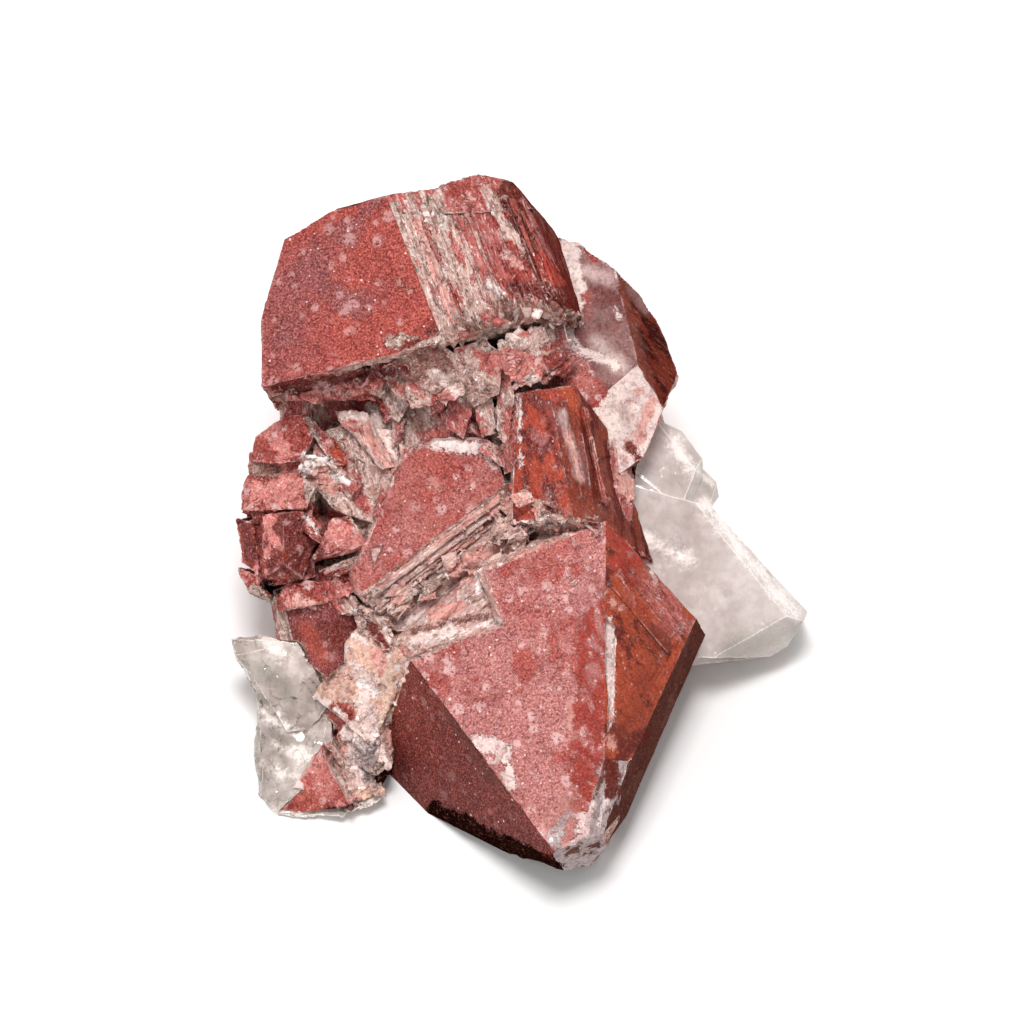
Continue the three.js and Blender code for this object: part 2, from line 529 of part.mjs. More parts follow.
// The broken vein matrix that carries every crystal, flat where it was cut from the vein.
function matrix() {
  return join([
    hull([
      [-21, -20, 0], [16, -18, 0], [20, 6, 0], [15, 25, 0], [-8, 27, 0], [-22, 17, 0], [-23, -4, 0],
      [-22, -16, 7], [-14, -22, 7], [12, -15, 10], [17, 8, 14], [12, 24, 18], [-10, 26, 20],
      [-22, 18, 16], [-22, 0, 14], [0, 24, 26], [-14, 22, 26], [8, 20, 24],
    ].map(overBase)),
    hull([
      [-10, 12, 4.6], [4, 13, 4], [8, 8, 5.4], [3, 3, 5], [1, -8, 6], [-8, -13, 7], [-13, -13, 6],
      [-16, 4, 5], [-16, -14, -4], [10, -14, -4], [10, 14, -6], [-14, 14, -4],
    ].map(point)),
    hull([
      [-9, -14, 8.6], [-1, -6, 8.4], [1, -9, 10], [0, -13, 10.6], [-8, -16, 10.6], [-12, -16, 7.6],
      [-11, -24, 4.6], [-9, -20, 6], [-10, -20, -2], [4, -10, -2], [-14, -12, -2],
    ].map(point)),
    hull([
      [-14.6, -13, 6.4], [-9.4, -15.2, 8.6], [-10.2, -19, 8.4], [-12.6, -24.4, 7], [-16, -20, 6.4],
      [-18.5, -19.4, 5.6], [-12, -10.6, 6.4], [-14, -13, -4], [-10, -22, -4], [-18, -18, -4],
    ].map(point)),
  ]);
}

// ---------------------------------------------------------------- growth ribs, broken stone and the back

function growthRibs() {
  return [
    ...ribs({
      start: [-10.2, 29, 11.6], end: [-5, 16, 15.4], across: [12, 1, -2.9], out: [0.22, 0.36, 0.9],
      count: 11, width: 0.8, height: 0.85, seed: 11,
    }),
    ...ribs({
      start: [0.2, 0.6, 7.4], end: [-13.2, -9.6, 9.2], across: [2, -2.8, -2.9], out: [0.5, -0.5, 0.7],
      count: 6, width: 0.5, height: 0.6, seed: 12,
    }),
    ...ribs({
      start: [13, -4.9, 11.2], end: [19, -11.9, 8.6], across: [-3.4, -4.4, 3.5], out: [0.55, 0.2, 0.8],
      count: 5, width: 0.6, height: 0.25, seed: 13,
    }),
    ...ribs({
      start: [5.6, 10.4, 12.2], end: [7.8, 0, 13.2], across: [3, -0.5, -0.9], out: [0.3, 0.1, 0.95],
      count: 2, width: 0.7, height: 0.4, seed: 14,
    }),
  ];
}

function crumbledStone() {
  const routes = [
    {
      path: [[-9.5, 11.4, 9.6], [-4, 12.6, 10.6], [2, 13.8, 10.8], [6.6, 14.6, 8.8]],
      spread: 1.5, count: 18, size: 3, seed: 21,
    },
    {
      path: [[-5, 8.6, 6.6], [1, 9.4, 7.4], [0.6, 4.2, 7.2], [3, -1, 7.4]],
      spread: 1.2, count: 14, size: 2.6, seed: 22,
    },
    {
      path: [[10, -1, 11], [4.4, -1.2, 9.8], [0.6, -3.6, 8], [-5, -7.4, 8.2], [-12.6, -12, 7.4]],
      spread: 1, count: 30, size: 2.3, seed: 23,
    },
    {
      path: [[-20, 3.8, 7.2], [-17, 3, 7.8], [-14.6, 1.8, 7]],
      spread: 0.9, count: 9, size: 2.2, seed: 30,
    },
    {
      path: [[-12, 8.6, 6], [-9, 4.6, 6.6], [-11.6, -1, 7.4], [-13.4, -7.6, 7.6]],
      spread: 0.9, count: 10, size: 2.2, seed: 25,
    },
    {
      path: [[-21, -10.6, 4.6], [-14, -11, 6.4], [-10.6, -13.4, 7.4], [-11.4, -19, 7]],
      spread: 1, count: 12, size: 2.2, seed: 26,
    },
    {
      path: [[-15, -24, 6], [-12.4, -24.6, 6.8], [-12.4, -28, 6]],
      spread: 1.2, count: 10, size: 2.2, seed: 27,
    },
    {
      path: [[-21, 10.4, 7], [-15, 11.6, 8.6], [-9, 13, 11]],
      spread: 0.8, count: 12, size: 2.2, seed: 28,
    },
    {
      path: [[1.4, 0.2, 10.4], [4.2, -0.7, 11.8], [7, -1.2, 13], [9.6, -2.4, 12.4]],
      spread: 0.7, count: 14, size: 1.8, seed: 29,
    },
  ];
  return routes.flatMap(crumble);
}

// The side that lies away from the viewer: low quartz points round the foot and broken vein stone between
// them.
function backStone() {
  const points = [
    { root: [2, 12, 9], tip: [4.6, 35, 7.5], radius: 5.6, turn: 0.2, seed: 31 },
    { root: [-9, 12, 10], tip: [-13.5, 34, 7.5], radius: 6, turn: 0.5, seed: 32 },
    { root: [6, 8, 8], tip: [12.6, 28.5, 7], radius: 3.8, turn: 0.9, seed: 33 },
    { root: [-10, 2, 8], tip: [-22.6, 13, 7], radius: 3.8, turn: 0.1, seed: 34 },
    { root: [-4, 16, 12], tip: [-4.6, 31, 13.6], radius: 3.6, turn: 0.3, seed: 35 },
  ].map(({ root, tip, ...rest }) => quartzPoint({ root: overBase(root), tip: overBase(tip), ...rest }));
  const routes = [
    {
      path: [[-21, 17, 3], [-8, 26, 3], [6, 25.5, 3], [14.4, 22, 3]],
      spread: 1, count: 16, size: 5, seed: 41,
    },
    {
      path: [[-20.4, 18, 12], [-9, 25.6, 13], [5, 25, 13], [12.4, 22, 10]],
      spread: 1, count: 14, size: 5, seed: 42,
    },
    {
      path: [[16, 12, 3], [16.6, 0, 3], [13, -12, 3]],
      spread: 1, count: 9, size: 4, seed: 43,
    },
    {
      path: [[-21.6, 12, 4], [-22, -2, 4], [-20, -15, 3]],
      spread: 1, count: 10, size: 4, seed: 44,
    },
    {
      path: [[-12, -18.6, 3], [0, -18, 3], [12, -15, 3]],
      spread: 1, count: 8, size: 4, seed: 45,
    },
  ];
  const broken = routes.flatMap(({ path, ...rest }) => (
    crumble({ path: path.map((place) => overBase(place).toArray()), ...rest })
  ));
  return [...points, ...broken];
}

// Where pieces have been knocked off: the scar and the chips on the main crystal's left edge and at its
// tip, and the long narrow bruise down its middle ridge.
function bruises() {
  const random = randomSource(51);
  const across = new THREE.Vector3(0.6, -0.78, 0.2);
  const chips = [
    [[-0.4, -24.8, 16.9], 2.6], [[1.2, -27.4, 17.6], 2.2], [[2.4, -30, 18.6], 1.5],
    [[3.6, -31.9, 19.2], 1.4], [[11.4, -28.6, 18.2], 1.8], [[9.4, -34.6, 17.6], 2.2],
    [[12.2, -31.4, 14.6], 1.8], [[4.4, -34.6, 18.6], 1.6], [[15.4, -7.4, 11.4], 1.5],
    [[-5.2, 15.2, 16.1], 1.6], [[-22.6, 24.6, 11.2], 2.2], [[-13.9, 3.1, 6.8], 2],
    [[1.2, 18, 13.6], 2.2], [[4.6, 19.6, 11.8], 2], [[-5.4, 15.6, 15], 1.8],
  ].map(([middle, size]) => chip(point(middle), size, across, random));
  const bruise = hull([
    [10.3, -11.2, 14.7], [11.3, -12.4, 14.2], [10.3, -12, 13.8], [10.5, -22.6, 17.2], [11.2, -21, 16.5],
    [10.6, -21.8, 16],
  ].map(point));
  return join([...chips, bruise]);
}

// ---------------------------------------------------------------- the whole cluster

function cluster() {
  const grown = join([
    matrix(),
    mainCrystal(),
    upperCrystal(),
    smokyCrystal(),
    ridgedCrystal(),
    flatCrystal(),
    smallPoint(),
    clearPoint(),
    clearFoot(),
    clearRoot(),
    clearShard(),
    lowerChunk(),
    brokenCluster(),
    ...crackedSlabs(),
    ...growthRibs(),
    ...crumbledStone(),
    ...backStone(),
  ]);
  return largestPiece(cut(grown.subtract(bruises()), new THREE.Plane(DOWN, -BASE_DEPTH)));
}

const stone = new THREE.Mesh(geometryOf(cluster()), new THREE.MeshStandardMaterial(STONE));
stone.name = "quartz_cluster";

const specimen = new THREE.Group();
specimen.rotation.x = LEAN;
specimen.position.z = BASE_DEPTH;
specimen.add(stone);

export default specimen;
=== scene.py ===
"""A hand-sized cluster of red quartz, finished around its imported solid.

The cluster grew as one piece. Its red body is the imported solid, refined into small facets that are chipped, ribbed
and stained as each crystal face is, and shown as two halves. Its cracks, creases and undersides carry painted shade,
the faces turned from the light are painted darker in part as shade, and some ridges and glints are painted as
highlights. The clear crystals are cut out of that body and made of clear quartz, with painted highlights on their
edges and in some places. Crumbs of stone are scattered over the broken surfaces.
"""

import json
import logging
import math
from contextlib import contextmanager
from dataclasses import dataclass, replace
from enum import Enum
from itertools import combinations
from typing import Any, Callable, Iterator, Sequence

import bmesh
import bpy
import numpy as np
from bpy.types import Material, Mesh, Node, NodeSocket, NodeTree, Object
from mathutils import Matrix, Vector

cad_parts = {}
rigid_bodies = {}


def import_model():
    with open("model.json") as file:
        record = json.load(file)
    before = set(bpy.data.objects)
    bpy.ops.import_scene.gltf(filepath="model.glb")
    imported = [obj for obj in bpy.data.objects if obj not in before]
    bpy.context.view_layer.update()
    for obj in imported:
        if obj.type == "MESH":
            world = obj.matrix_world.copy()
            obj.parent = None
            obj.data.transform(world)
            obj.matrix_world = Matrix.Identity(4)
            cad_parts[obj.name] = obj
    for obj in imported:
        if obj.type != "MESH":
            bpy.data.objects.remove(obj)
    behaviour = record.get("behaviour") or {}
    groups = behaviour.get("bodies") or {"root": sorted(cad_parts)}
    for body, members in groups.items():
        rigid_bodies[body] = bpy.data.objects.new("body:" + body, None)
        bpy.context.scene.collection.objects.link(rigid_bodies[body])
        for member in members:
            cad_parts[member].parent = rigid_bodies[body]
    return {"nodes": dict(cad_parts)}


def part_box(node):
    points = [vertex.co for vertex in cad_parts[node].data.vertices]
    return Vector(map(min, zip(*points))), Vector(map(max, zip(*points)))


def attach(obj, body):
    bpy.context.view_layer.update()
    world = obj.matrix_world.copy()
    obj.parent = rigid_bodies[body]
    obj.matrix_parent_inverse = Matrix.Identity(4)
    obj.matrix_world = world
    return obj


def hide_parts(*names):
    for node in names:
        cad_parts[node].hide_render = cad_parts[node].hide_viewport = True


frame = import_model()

LOG = logging.getLogger("red_quartz")
Array = np.ndarray
Colour = tuple[float, float, float]
Point = tuple[float, float, float]
Spot = tuple[float, float]  # a place as seen from the display side, in millimetres

MM = 0.001
NODE = "quartz_cluster"
BODY = "root"
RED_SLOT = "red_quartz"
CLEAR_SLOT = "clear_quartz"

LEAN = math.radians(35.0)  # lean of the display frame, in which the crystals are set out, back from upright
BASE_DEPTH = 14.0  # from the display frame's origin straight down to the base, in millimetres
DISPLAY_AXES = np.array([
    [1.0, 0.0, 0.0],
    [0.0, math.cos(LEAN), -math.sin(LEAN)],
    [0.0, math.sin(LEAN), math.cos(LEAN)],
])
BASE_SHIFT = np.array([0.0, 0.0, BASE_DEPTH])


def to_world(points: Array) -> Array:
    """Display-frame millimetres to the row frame's metres."""
    return (points @ DISPLAY_AXES.T + BASE_SHIFT) * MM


def to_display(points: Array) -> Array:
    """The row frame's metres to display-frame millimetres."""
    return (points / MM - BASE_SHIFT) @ DISPLAY_AXES


def srgb(red: float, green: float, blue: float) -> Colour:
    """A colour given as 0 to 255 on screen, as the linear values that shaders take."""
    def linear(value: float) -> float:
        """One channel."""
        share = value / 255.0
        return share / 12.92 if share <= 0.04045 else ((share + 0.055) / 1.055) ** 2.4

    return (linear(red), linear(green), linear(blue))


# ---------------- noise on points

AXIS_PRIMES = (73856093, 19349663, 83492791)
SEED_PRIME = 2654435761
DRAW_STEP = 0x9E3779B9
STIRS = ((16, 0x7FEB352D), (15, 0x846CA68B))
LAST_STIR = 16
WORD = 2**32
OCTAVE_SHIFT = 17.3  # keeps the grids of a pattern's octaves apart
NOISE_GAIN = 1.8  # brings the sum of the octaves to about -1 to 1
FAR_CELLS = 9.0  # further than any cell's middle can be
CHANCE_SEED = 101  # between the seeds of a cell's place and of its random numbers
LEVEL_SHARE = 0.6
SLOPE_SHARE = 0.9


def hashed(cells: Array, seed: int, count: int = 3) -> Array:
    """Repeatable random numbers for whole-number cells.

    Args:
        cells: Cell coordinates, one row each.
        seed: Picks one of many independent sets.
        count: How many numbers each row gets.

    Returns:
        That many numbers from 0 to 1 for each row.
    """
    grid = cells.astype(np.int64).astype(np.uint32)
    mixed = np.full(len(grid), (seed * SEED_PRIME) % WORD, dtype=np.uint32)
    for axis, prime in enumerate(AXIS_PRIMES):
        mixed ^= grid[:, axis] * np.uint32(prime)
    out = np.empty((len(grid), count))
    for draw in range(count):
        value = mixed + np.uint32((draw + 1) * DRAW_STEP % WORD)
        for shift, factor in STIRS:
            value ^= value >> np.uint32(shift)
            value *= np.uint32(factor)
        value ^= value >> np.uint32(LAST_STIR)
        out[:, draw] = value * (1.0 / WORD)
    return out


def smooth_noise(points: Array, size: float, seed: int, octaves: int = 3) -> Array:
    """Smooth random values over space.

    Args:
        points: Places, in millimetres.
        size: Width of the largest patches, in millimetres.
        seed: Picks the pattern.
        octaves: How many times a pattern half as wide and half as strong is added.

    Returns:
        One value for each point, mostly from -1 to 1.
    """
    total = np.zeros(len(points))
    strength, reach = 1.0, 0.0
    for octave in range(octaves):
        place = points * (2.0**octave / size) + OCTAVE_SHIFT * (octave + 1)
        low = np.floor(place)
        part = place - low
        part = part * part * (3.0 - 2.0 * part)
        sides = (1.0 - part, part)
        for i, j, k in np.ndindex(2, 2, 2):
            weight = sides[i][:, 0] * sides[j][:, 1] * sides[k][:, 2]
            total += strength * weight * (2.0 * hashed(low + (i, j, k), seed + octave, 1)[:, 0] - 1.0)
        reach += strength
        strength *= 0.5
    return total * (NOISE_GAIN / reach)


@dataclass
class Shards:
    """The nearest cell of a scattered pattern for each point, as when stone breaks into shards.

    Args:
        near: Distance to the cell's middle, in cells.
        edge: How much further the next cell's middle is, in cells; zero along the cracks.
        offset: From the cell's middle to the point, in cells.
        chance: Three random numbers for the cell.
    """

    near: Array
    edge: Array
    offset: Array
    chance: Array

    @classmethod
    def of(cls, points: Array, seed: int) -> "Shards":
        """Finds each point's cell.

        Args:
            points: Places, counted in cells.
            seed: Picks the pattern.

        Returns:
            The nearest cell of each point.
        """
        low = np.floor(points)
        near = np.full(len(points), FAR_CELLS)
        second = np.full(len(points), FAR_CELLS)
        offset = np.zeros_like(points)
        owner = np.zeros_like(points)
        for step in np.ndindex(3, 3, 3):
            cell = low + (np.array(step) - 1)
            apart = points - (cell + hashed(cell, seed))
            distance = np.sqrt((apart * apart).sum(axis=1))
            closer = distance < near
            second = np.where(closer, near, np.minimum(second, distance))
            near = np.where(closer, distance, near)
            offset[closer] = apart[closer]
            owner[closer] = cell[closer]
        return cls(near, second - near, offset, hashed(owner, seed + CHANCE_SEED))

    def relief(self) -> Array:
        """Height of a broken surface: each shard lies at its own level and slopes its own way."""
        slope = 2.0 * self.chance - 1.0
        level = 2.0 * self.chance[:, 0] - 1.0
        return LEVEL_SHARE * level + SLOPE_SHARE * (self.offset * slope[:, [1, 2, 0]]).sum(axis=1)


# ---------------- looks and zones


@dataclass(frozen=True)
class Look:
    """One kind of stone as it looks on the surface.

    Args:
        tone: Colour.
        dust: Cover of fine red, pale and dark grains, 0 to 1.
        gloss: Strength of the glassy coat, 0 to 1.
        crushed: Share of crushed white and black stone, 0 to 1.
        flecks: Share of round pale flecks, 0 to 1.
    """

    tone: Colour
    dust: float = 0.0
    gloss: float = 0.3
    crushed: float = 0.0
    flecks: float = 0.0

    @property
    def shine(self) -> tuple[float, float, float, float]:
        """Everything but the colour."""
        return (self.dust, self.gloss, self.crushed, self.flecks)


RED_FACE = Look(srgb(152, 66, 59), 1.0, 0.12, 0.0, 0.5)
BROWN_FACE = Look(srgb(130, 70, 70), 1.0, 0.12, 0.0, 0.5)
PINK_FACE = Look(srgb(173, 107, 103), 1.0, 0.18, 0.0, 1.0)
FLAT_TONE = Look(srgb(164, 90, 84), 0.8, 0.15, 0.0, 0.3)
BRICK_FACE = Look(srgb(160, 74, 68), 0.9, 0.25, 0.0, 0.7)
VIOLET_FACE = Look(srgb(158, 96, 94), 0.7, 0.3, 0.0, 0.5)
ORANGE_STRIP = Look(srgb(146, 48, 38), 0.5, 0.6)
DARK_FACE = Look(srgb(97, 38, 35), 1.0, 0.1, 0.0, 0.15)
RUSTY_FACE = Look(srgb(116, 48, 41), 0.95, 0.15, 0.0, 0.2)
# Near-black. On the undersides and in the wedge under the main crystal's slope it is painted shadow.
NEAR_BLACK = Look(srgb(22, 5, 3), 0.0, 0.0)
ORANGE_GLASS = Look(srgb(160, 66, 41), 0.35, 0.7)
RED_GLASS = Look(srgb(162, 58, 46), 0.2, 1.0)
MAUVE_GLASS = Look(srgb(158, 78, 68), 0.25, 0.8, 0.1)
DARK_GLASS = Look(srgb(98, 34, 26), 0.2, 0.6)
DEEP_GLASS = Look(srgb(92, 25, 20), 0.15, 0.25)
WINE_FACE = Look(srgb(106, 44, 33), 0.1, 0.0)
WINE_STREAK = Look(srgb(62, 24, 20), 0.05, 0.0)
UMBER_GLASS = Look(srgb(129, 55, 38), 0.2, 0.3)
BROWN_GLASS = Look(srgb(86, 48, 40), 0.15, 0.05)
DUN_GLASS = Look(srgb(98, 62, 53), 0.2, 0.05)
GREY_GLASS = Look(srgb(170, 152, 150), 0.05, 0.9, 0.25)
SMOKE_GLASS = Look(srgb(142, 102, 98), 0.1, 0.95, 0.05)
VIOLET_GLASS = Look(srgb(118, 62, 60), 0.15, 0.9, 0.05)
# White, for scars and for painted highlights, glints and reflections on ridges and facets.
WHITE_SCAR_AND_HIGHLIGHT = Look(srgb(244, 226, 220), 0.0, 1.0, 0.1)
# Pale pink, for chip scars and for painted highlights along ridges; it also makes the outer edges paler.
PINK_SCAR_AND_HIGHLIGHT = Look(srgb(236, 204, 198), 0.05, 0.6, 0.2)
SOFT_SCAR = Look(srgb(200, 136, 124), 0.1, 0.9)
GREIGE = Look(srgb(200, 162, 150), 0.05, 0.35, 1.0)
BAND_STONE = Look(srgb(216, 176, 165), 0.05, 0.35, 0.8)
DARK_GREIGE = Look(srgb(172, 144, 132), 0.1, 0.35, 1.0)
BROWN_STONE = Look(srgb(140, 94, 82), 0.2, 0.35, 0.6)
ROSE_STONE = Look(srgb(178, 90, 84), 0.25, 0.6, 0.5)
BRICK_STONE = Look(srgb(148, 58, 51), 0.7, 0.35, 0.45, 0.9)
SALMON_STONE = Look(srgb(204, 121, 113), 0.6, 0.4, 0.55, 1.0)
ORANGE_STONE = Look(srgb(168, 64, 44), 0.4, 0.6, 0.1, 0.2)
MAROON_STONE = Look(srgb(106, 36, 32), 0.7, 0.35, 0.3, 0.5)
PINK_STONE = Look(srgb(224, 162, 150), 0.1, 0.6, 0.45)
PALE_STONE = Look(srgb(238, 214, 206), 0.05, 0.5, 0.35)
PEACH_STONE = Look(srgb(222, 178, 158), 0.1, 0.4, 0.4)
BEIGE_STONE = Look(srgb(212, 178, 158), 0.1, 0.35, 0.5)
WHITE_CRUST = Look(srgb(248, 236, 230), 0.0, 0.5, 0.25)

ALONG_UPPER = (0.33, -0.9, 0.26)
ALONG_BAND = (-0.8, -0.59, 0.1)
ALONG_PRISM = (0.62, -0.72, -0.3)
ALONG_RIDGE = (0.2, -0.97, 0.1)


@dataclass(frozen=True)
class Finish:
    """How one kind of surface looks and how rough it is.

    Args:
        ground: What it is made of.
        stain: What its patches are made of.
        share: Share of the surface that the patches cover, 0 to 1.
        patch_mm: Width of the patches.
        wave_mm: Height of its slow swells.
        grain_mm: Height of its grains.
        shard_mm: Height of its broken facets.
        shard_size: Width of those facets.
        edge_mm: Longest mesh edge on it.
        along: Direction of its ribs in the display frame.
        stretch: How much longer its shards and patches are along the ribs than across them.
    """

    ground: Look
    stain: Look
    share: float = 0.35
    patch_mm: float = 3.0
    wave_mm: float = 0.06
    grain_mm: float = 0.03
    shard_mm: float = 0.0
    shard_size: float = 1.6
    edge_mm: float = 0.66
    along: Point = ALONG_UPPER
    stretch: float = 1.0


class Zone(Enum):
    """The kinds of surface on the red body."""

    VEIN = Finish(GREIGE, ROSE_STONE, 0.52, 1.8, 0.1, 0.04, 0.2, 1.4, 0.4, ALONG_UPPER, 3.6)
    RUBBLE = Finish(GREIGE, PINK_STONE, 0.5, 1.3, 0.1, 0.05, 0.3, 0.95, 0.34, ALONG_BAND, 1.4)
    BAND = Finish(BAND_STONE, PINK_STONE, 0.45, 1.3, 0.08, 0.04, 0.15, 1.1, 0.34, ALONG_BAND, 4.0)
    BLOCK = Finish(BRICK_STONE, SALMON_STONE, 0.42, 1.0, 0.08, 0.04, 0.18, 1.0, 0.4)
    CRUST = Finish(PEACH_STONE, PALE_STONE, 0.45, 0.9, 0.1, 0.05, 0.2, 1.1, 0.36, ALONG_BAND)
    SOCKET = Finish(PALE_STONE, PINK_STONE, 0.35, 3.0, 0.0, 0.0, 0.0, 1.0, 1.2)
    BACK = Finish(GREIGE, BRICK_STONE, 0.5, 5.0, 0.2, 0.06, 0.42, 2.4, 1.2, ALONG_UPPER, 1.6)
    END_FACE = Finish(RED_FACE, BROWN_FACE, 0.25, 3.4)
    MAIN_FACE = Finish(PINK_FACE, BRICK_FACE, 0.32, 3.0, 0.05)
    # The slope's dark tones are partly its own colour and partly painted shade, as the slope is turned from the light.
    SLOPE = Finish(DARK_FACE, RUSTY_FACE, 0.25, 2.0, 0.05)
    PRISM = Finish(ORANGE_GLASS, DARK_GLASS, 0.28, 1.3, 0.1, 0.03, 0.06, 1.4, 0.6, ALONG_PRISM, 2.4)
    # The bevel's dark browns are partly its own colour and partly painted shade, as the bevel is turned from the light.
    BEVEL = Finish(BROWN_GLASS, DUN_GLASS, 0.35, 3.0, 0.03, 0.02)
    # Painted shadow: the undersides are painted near-black, as they lie in shade.
    UNDERSIDE = Finish(NEAR_BLACK, DARK_GLASS, 0.25, 3.0, 0.1, 0.04, 0.1, 2.0, 0.9)
    TIP = Finish(GREY_GLASS, DUN_GLASS, 0.35, 1.2, 0.08, 0.02, 0.14, 1.6, 0.34, ALONG_UPPER, 2.4)
    RIBBED = Finish(ROSE_STONE, GREIGE, 0.38, 1.0, 0.06, 0.03, 0.16, 0.9, 0.34, ALONG_UPPER, 6.0)
    STRIATED = Finish(BAND_STONE, BROWN_STONE, 0.3, 0.9, 0.06, 0.03, 0.13, 0.8, 0.34, ALONG_BAND, 6.0)
    POLISHED = Finish(DEEP_GLASS, UMBER_GLASS, 0.35, 1.6, 0.06, 0.02, 0.05, 1.4, 0.6, ALONG_UPPER, 4.0)
    SMOKY = Finish(SMOKE_GLASS, VIOLET_GLASS, 0.42, 2.2, 0.1, 0.02, 0.08, 1.8, 0.5)
    # The smoky crystal's side is painted dark red partly as its own colour and partly as painted shade, as it is turned
    # from the light.
    SMOKY_SIDE = Finish(WINE_FACE, WINE_STREAK, 0.42, 1.0, 0.08, 0.02, 0.05, 1.4, 0.6, ALONG_PRISM, 4.0)
    PALE_BREAK = Finish(PALE_STONE, PINK_STONE, 0.25, 1.6, 0.08, 0.06, 0.08, 1.0, 0.36)
    RIDGE_LEFT = Finish(ORANGE_STONE, MAROON_STONE, 0.4, 0.9, 0.08, 0.04, 0.05, 1.2, 0.5, ALONG_RIDGE, 1.6)
    RIDGE_TOP = Finish(UMBER_GLASS, MAROON_STONE, 0.35, 0.9, 0.07, 0.03, 0.06, 1.0, 0.4, ALONG_RIDGE, 4.0)
    RIDGE_RIGHT = Finish(UMBER_GLASS, DEEP_GLASS, 0.4, 1.3, 0.08, 0.03, 0.06, 1.2, 0.5, ALONG_RIDGE, 4.0)
    FLAT_FACE = Finish(FLAT_TONE, BRICK_FACE, 0.35, 2.4, 0.06, 0.04)
    WEDGE = Finish(BRICK_STONE, SALMON_STONE, 0.3, 1.2, 0.08, 0.05, 0.05, 1.2, 0.4)
    SMALL_POINT = Finish(BROWN_FACE, MAROON_STONE, 0.45, 1.4, 0.06, 0.05, 0.04, 1.2, 0.4)


ZONES = list(Zone)
ZONE_AT = {zone: index for index, zone in enumerate(ZONES)}
BROKEN_ZONES = (Zone.VEIN, Zone.RUBBLE, Zone.BAND, Zone.BLOCK, Zone.CRUST, Zone.SOCKET)


def zone_values(name: str) -> Array:
    """One value of every zone's finish, in the zones' order."""
    return np.array([getattr(zone.value, name) for zone in ZONES])


def lie_in(zones: Array, kinds: Sequence[Zone]) -> Array:
    """Tells which of some zone numbers belong to some kinds of surface."""
    return np.isin(zones, [ZONE_AT[zone] for zone in kinds])


PLANE_SLACK = 0.05  # millimetres between a triangle's middle and its crystal face's plane
PLANE_AGREE = 0.995  # cosine between their normals
BORDER_RAGGED = 0.12  # how far a region's border wanders, as a share of its reach
BORDER_RAGGED_MM = 2.4
BORDER_SEED = 61


@dataclass(frozen=True)
class CrystalFace:
    """A flat face of a crystal: the plane through three of its points, in display-frame millimetres.

    Args:
        zone: The kind of surface that it has.
        corners: Three points of the plane.
        middle: A place near the middle of the face.
        reach: How far from the middle the face may spread.
    """

    zone: Zone
    corners: tuple[Point, Point, Point]
    middle: Point
    reach: float

    def holds(self, centres: Array, normals: Array) -> Array:
        """Tells which triangles lie in this face.

        Args:
            centres: Middle of each triangle.
            normals: Unit normal of each triangle.

        Returns:
            True for each triangle of the face.
        """
        first, second, third = (np.array(corner) for corner in self.corners)
        normal = np.cross(second - first, third - first)
        normal /= np.linalg.norm(normal)
        flat = np.abs((centres - first) @ normal) < PLANE_SLACK
        level = np.abs(normals @ normal) > PLANE_AGREE
        close = np.linalg.norm(centres - np.array(self.middle), axis=1) < self.reach
        return flat & level & close


@dataclass(frozen=True)
class StoneRegion:
    """A part of the broken stone that is of one kind.

    Args:
        zone: The kind of surface that it has.
        middle: Its middle in the display frame.
        radii: How far it reaches along each axis.
    """

    zone: Zone
    middle: Point
    radii: Point

    def holds(self, centres: Array) -> Array:
        """Tells which triangles lie in this region, whose border is ragged."""
        away = np.linalg.norm((centres - np.array(self.middle)) / np.array(self.radii), axis=1)
        return away < 1.0 + BORDER_RAGGED * smooth_noise(centres, BORDER_RAGGED_MM, BORDER_SEED, 2)


MAIN_LEFT = (-8.8, -15.6, 13.0)
MAIN_TOP = (10.0, -2.2, 12.5)
MAIN_NOSE = (5.6, -34.5, 19.5)

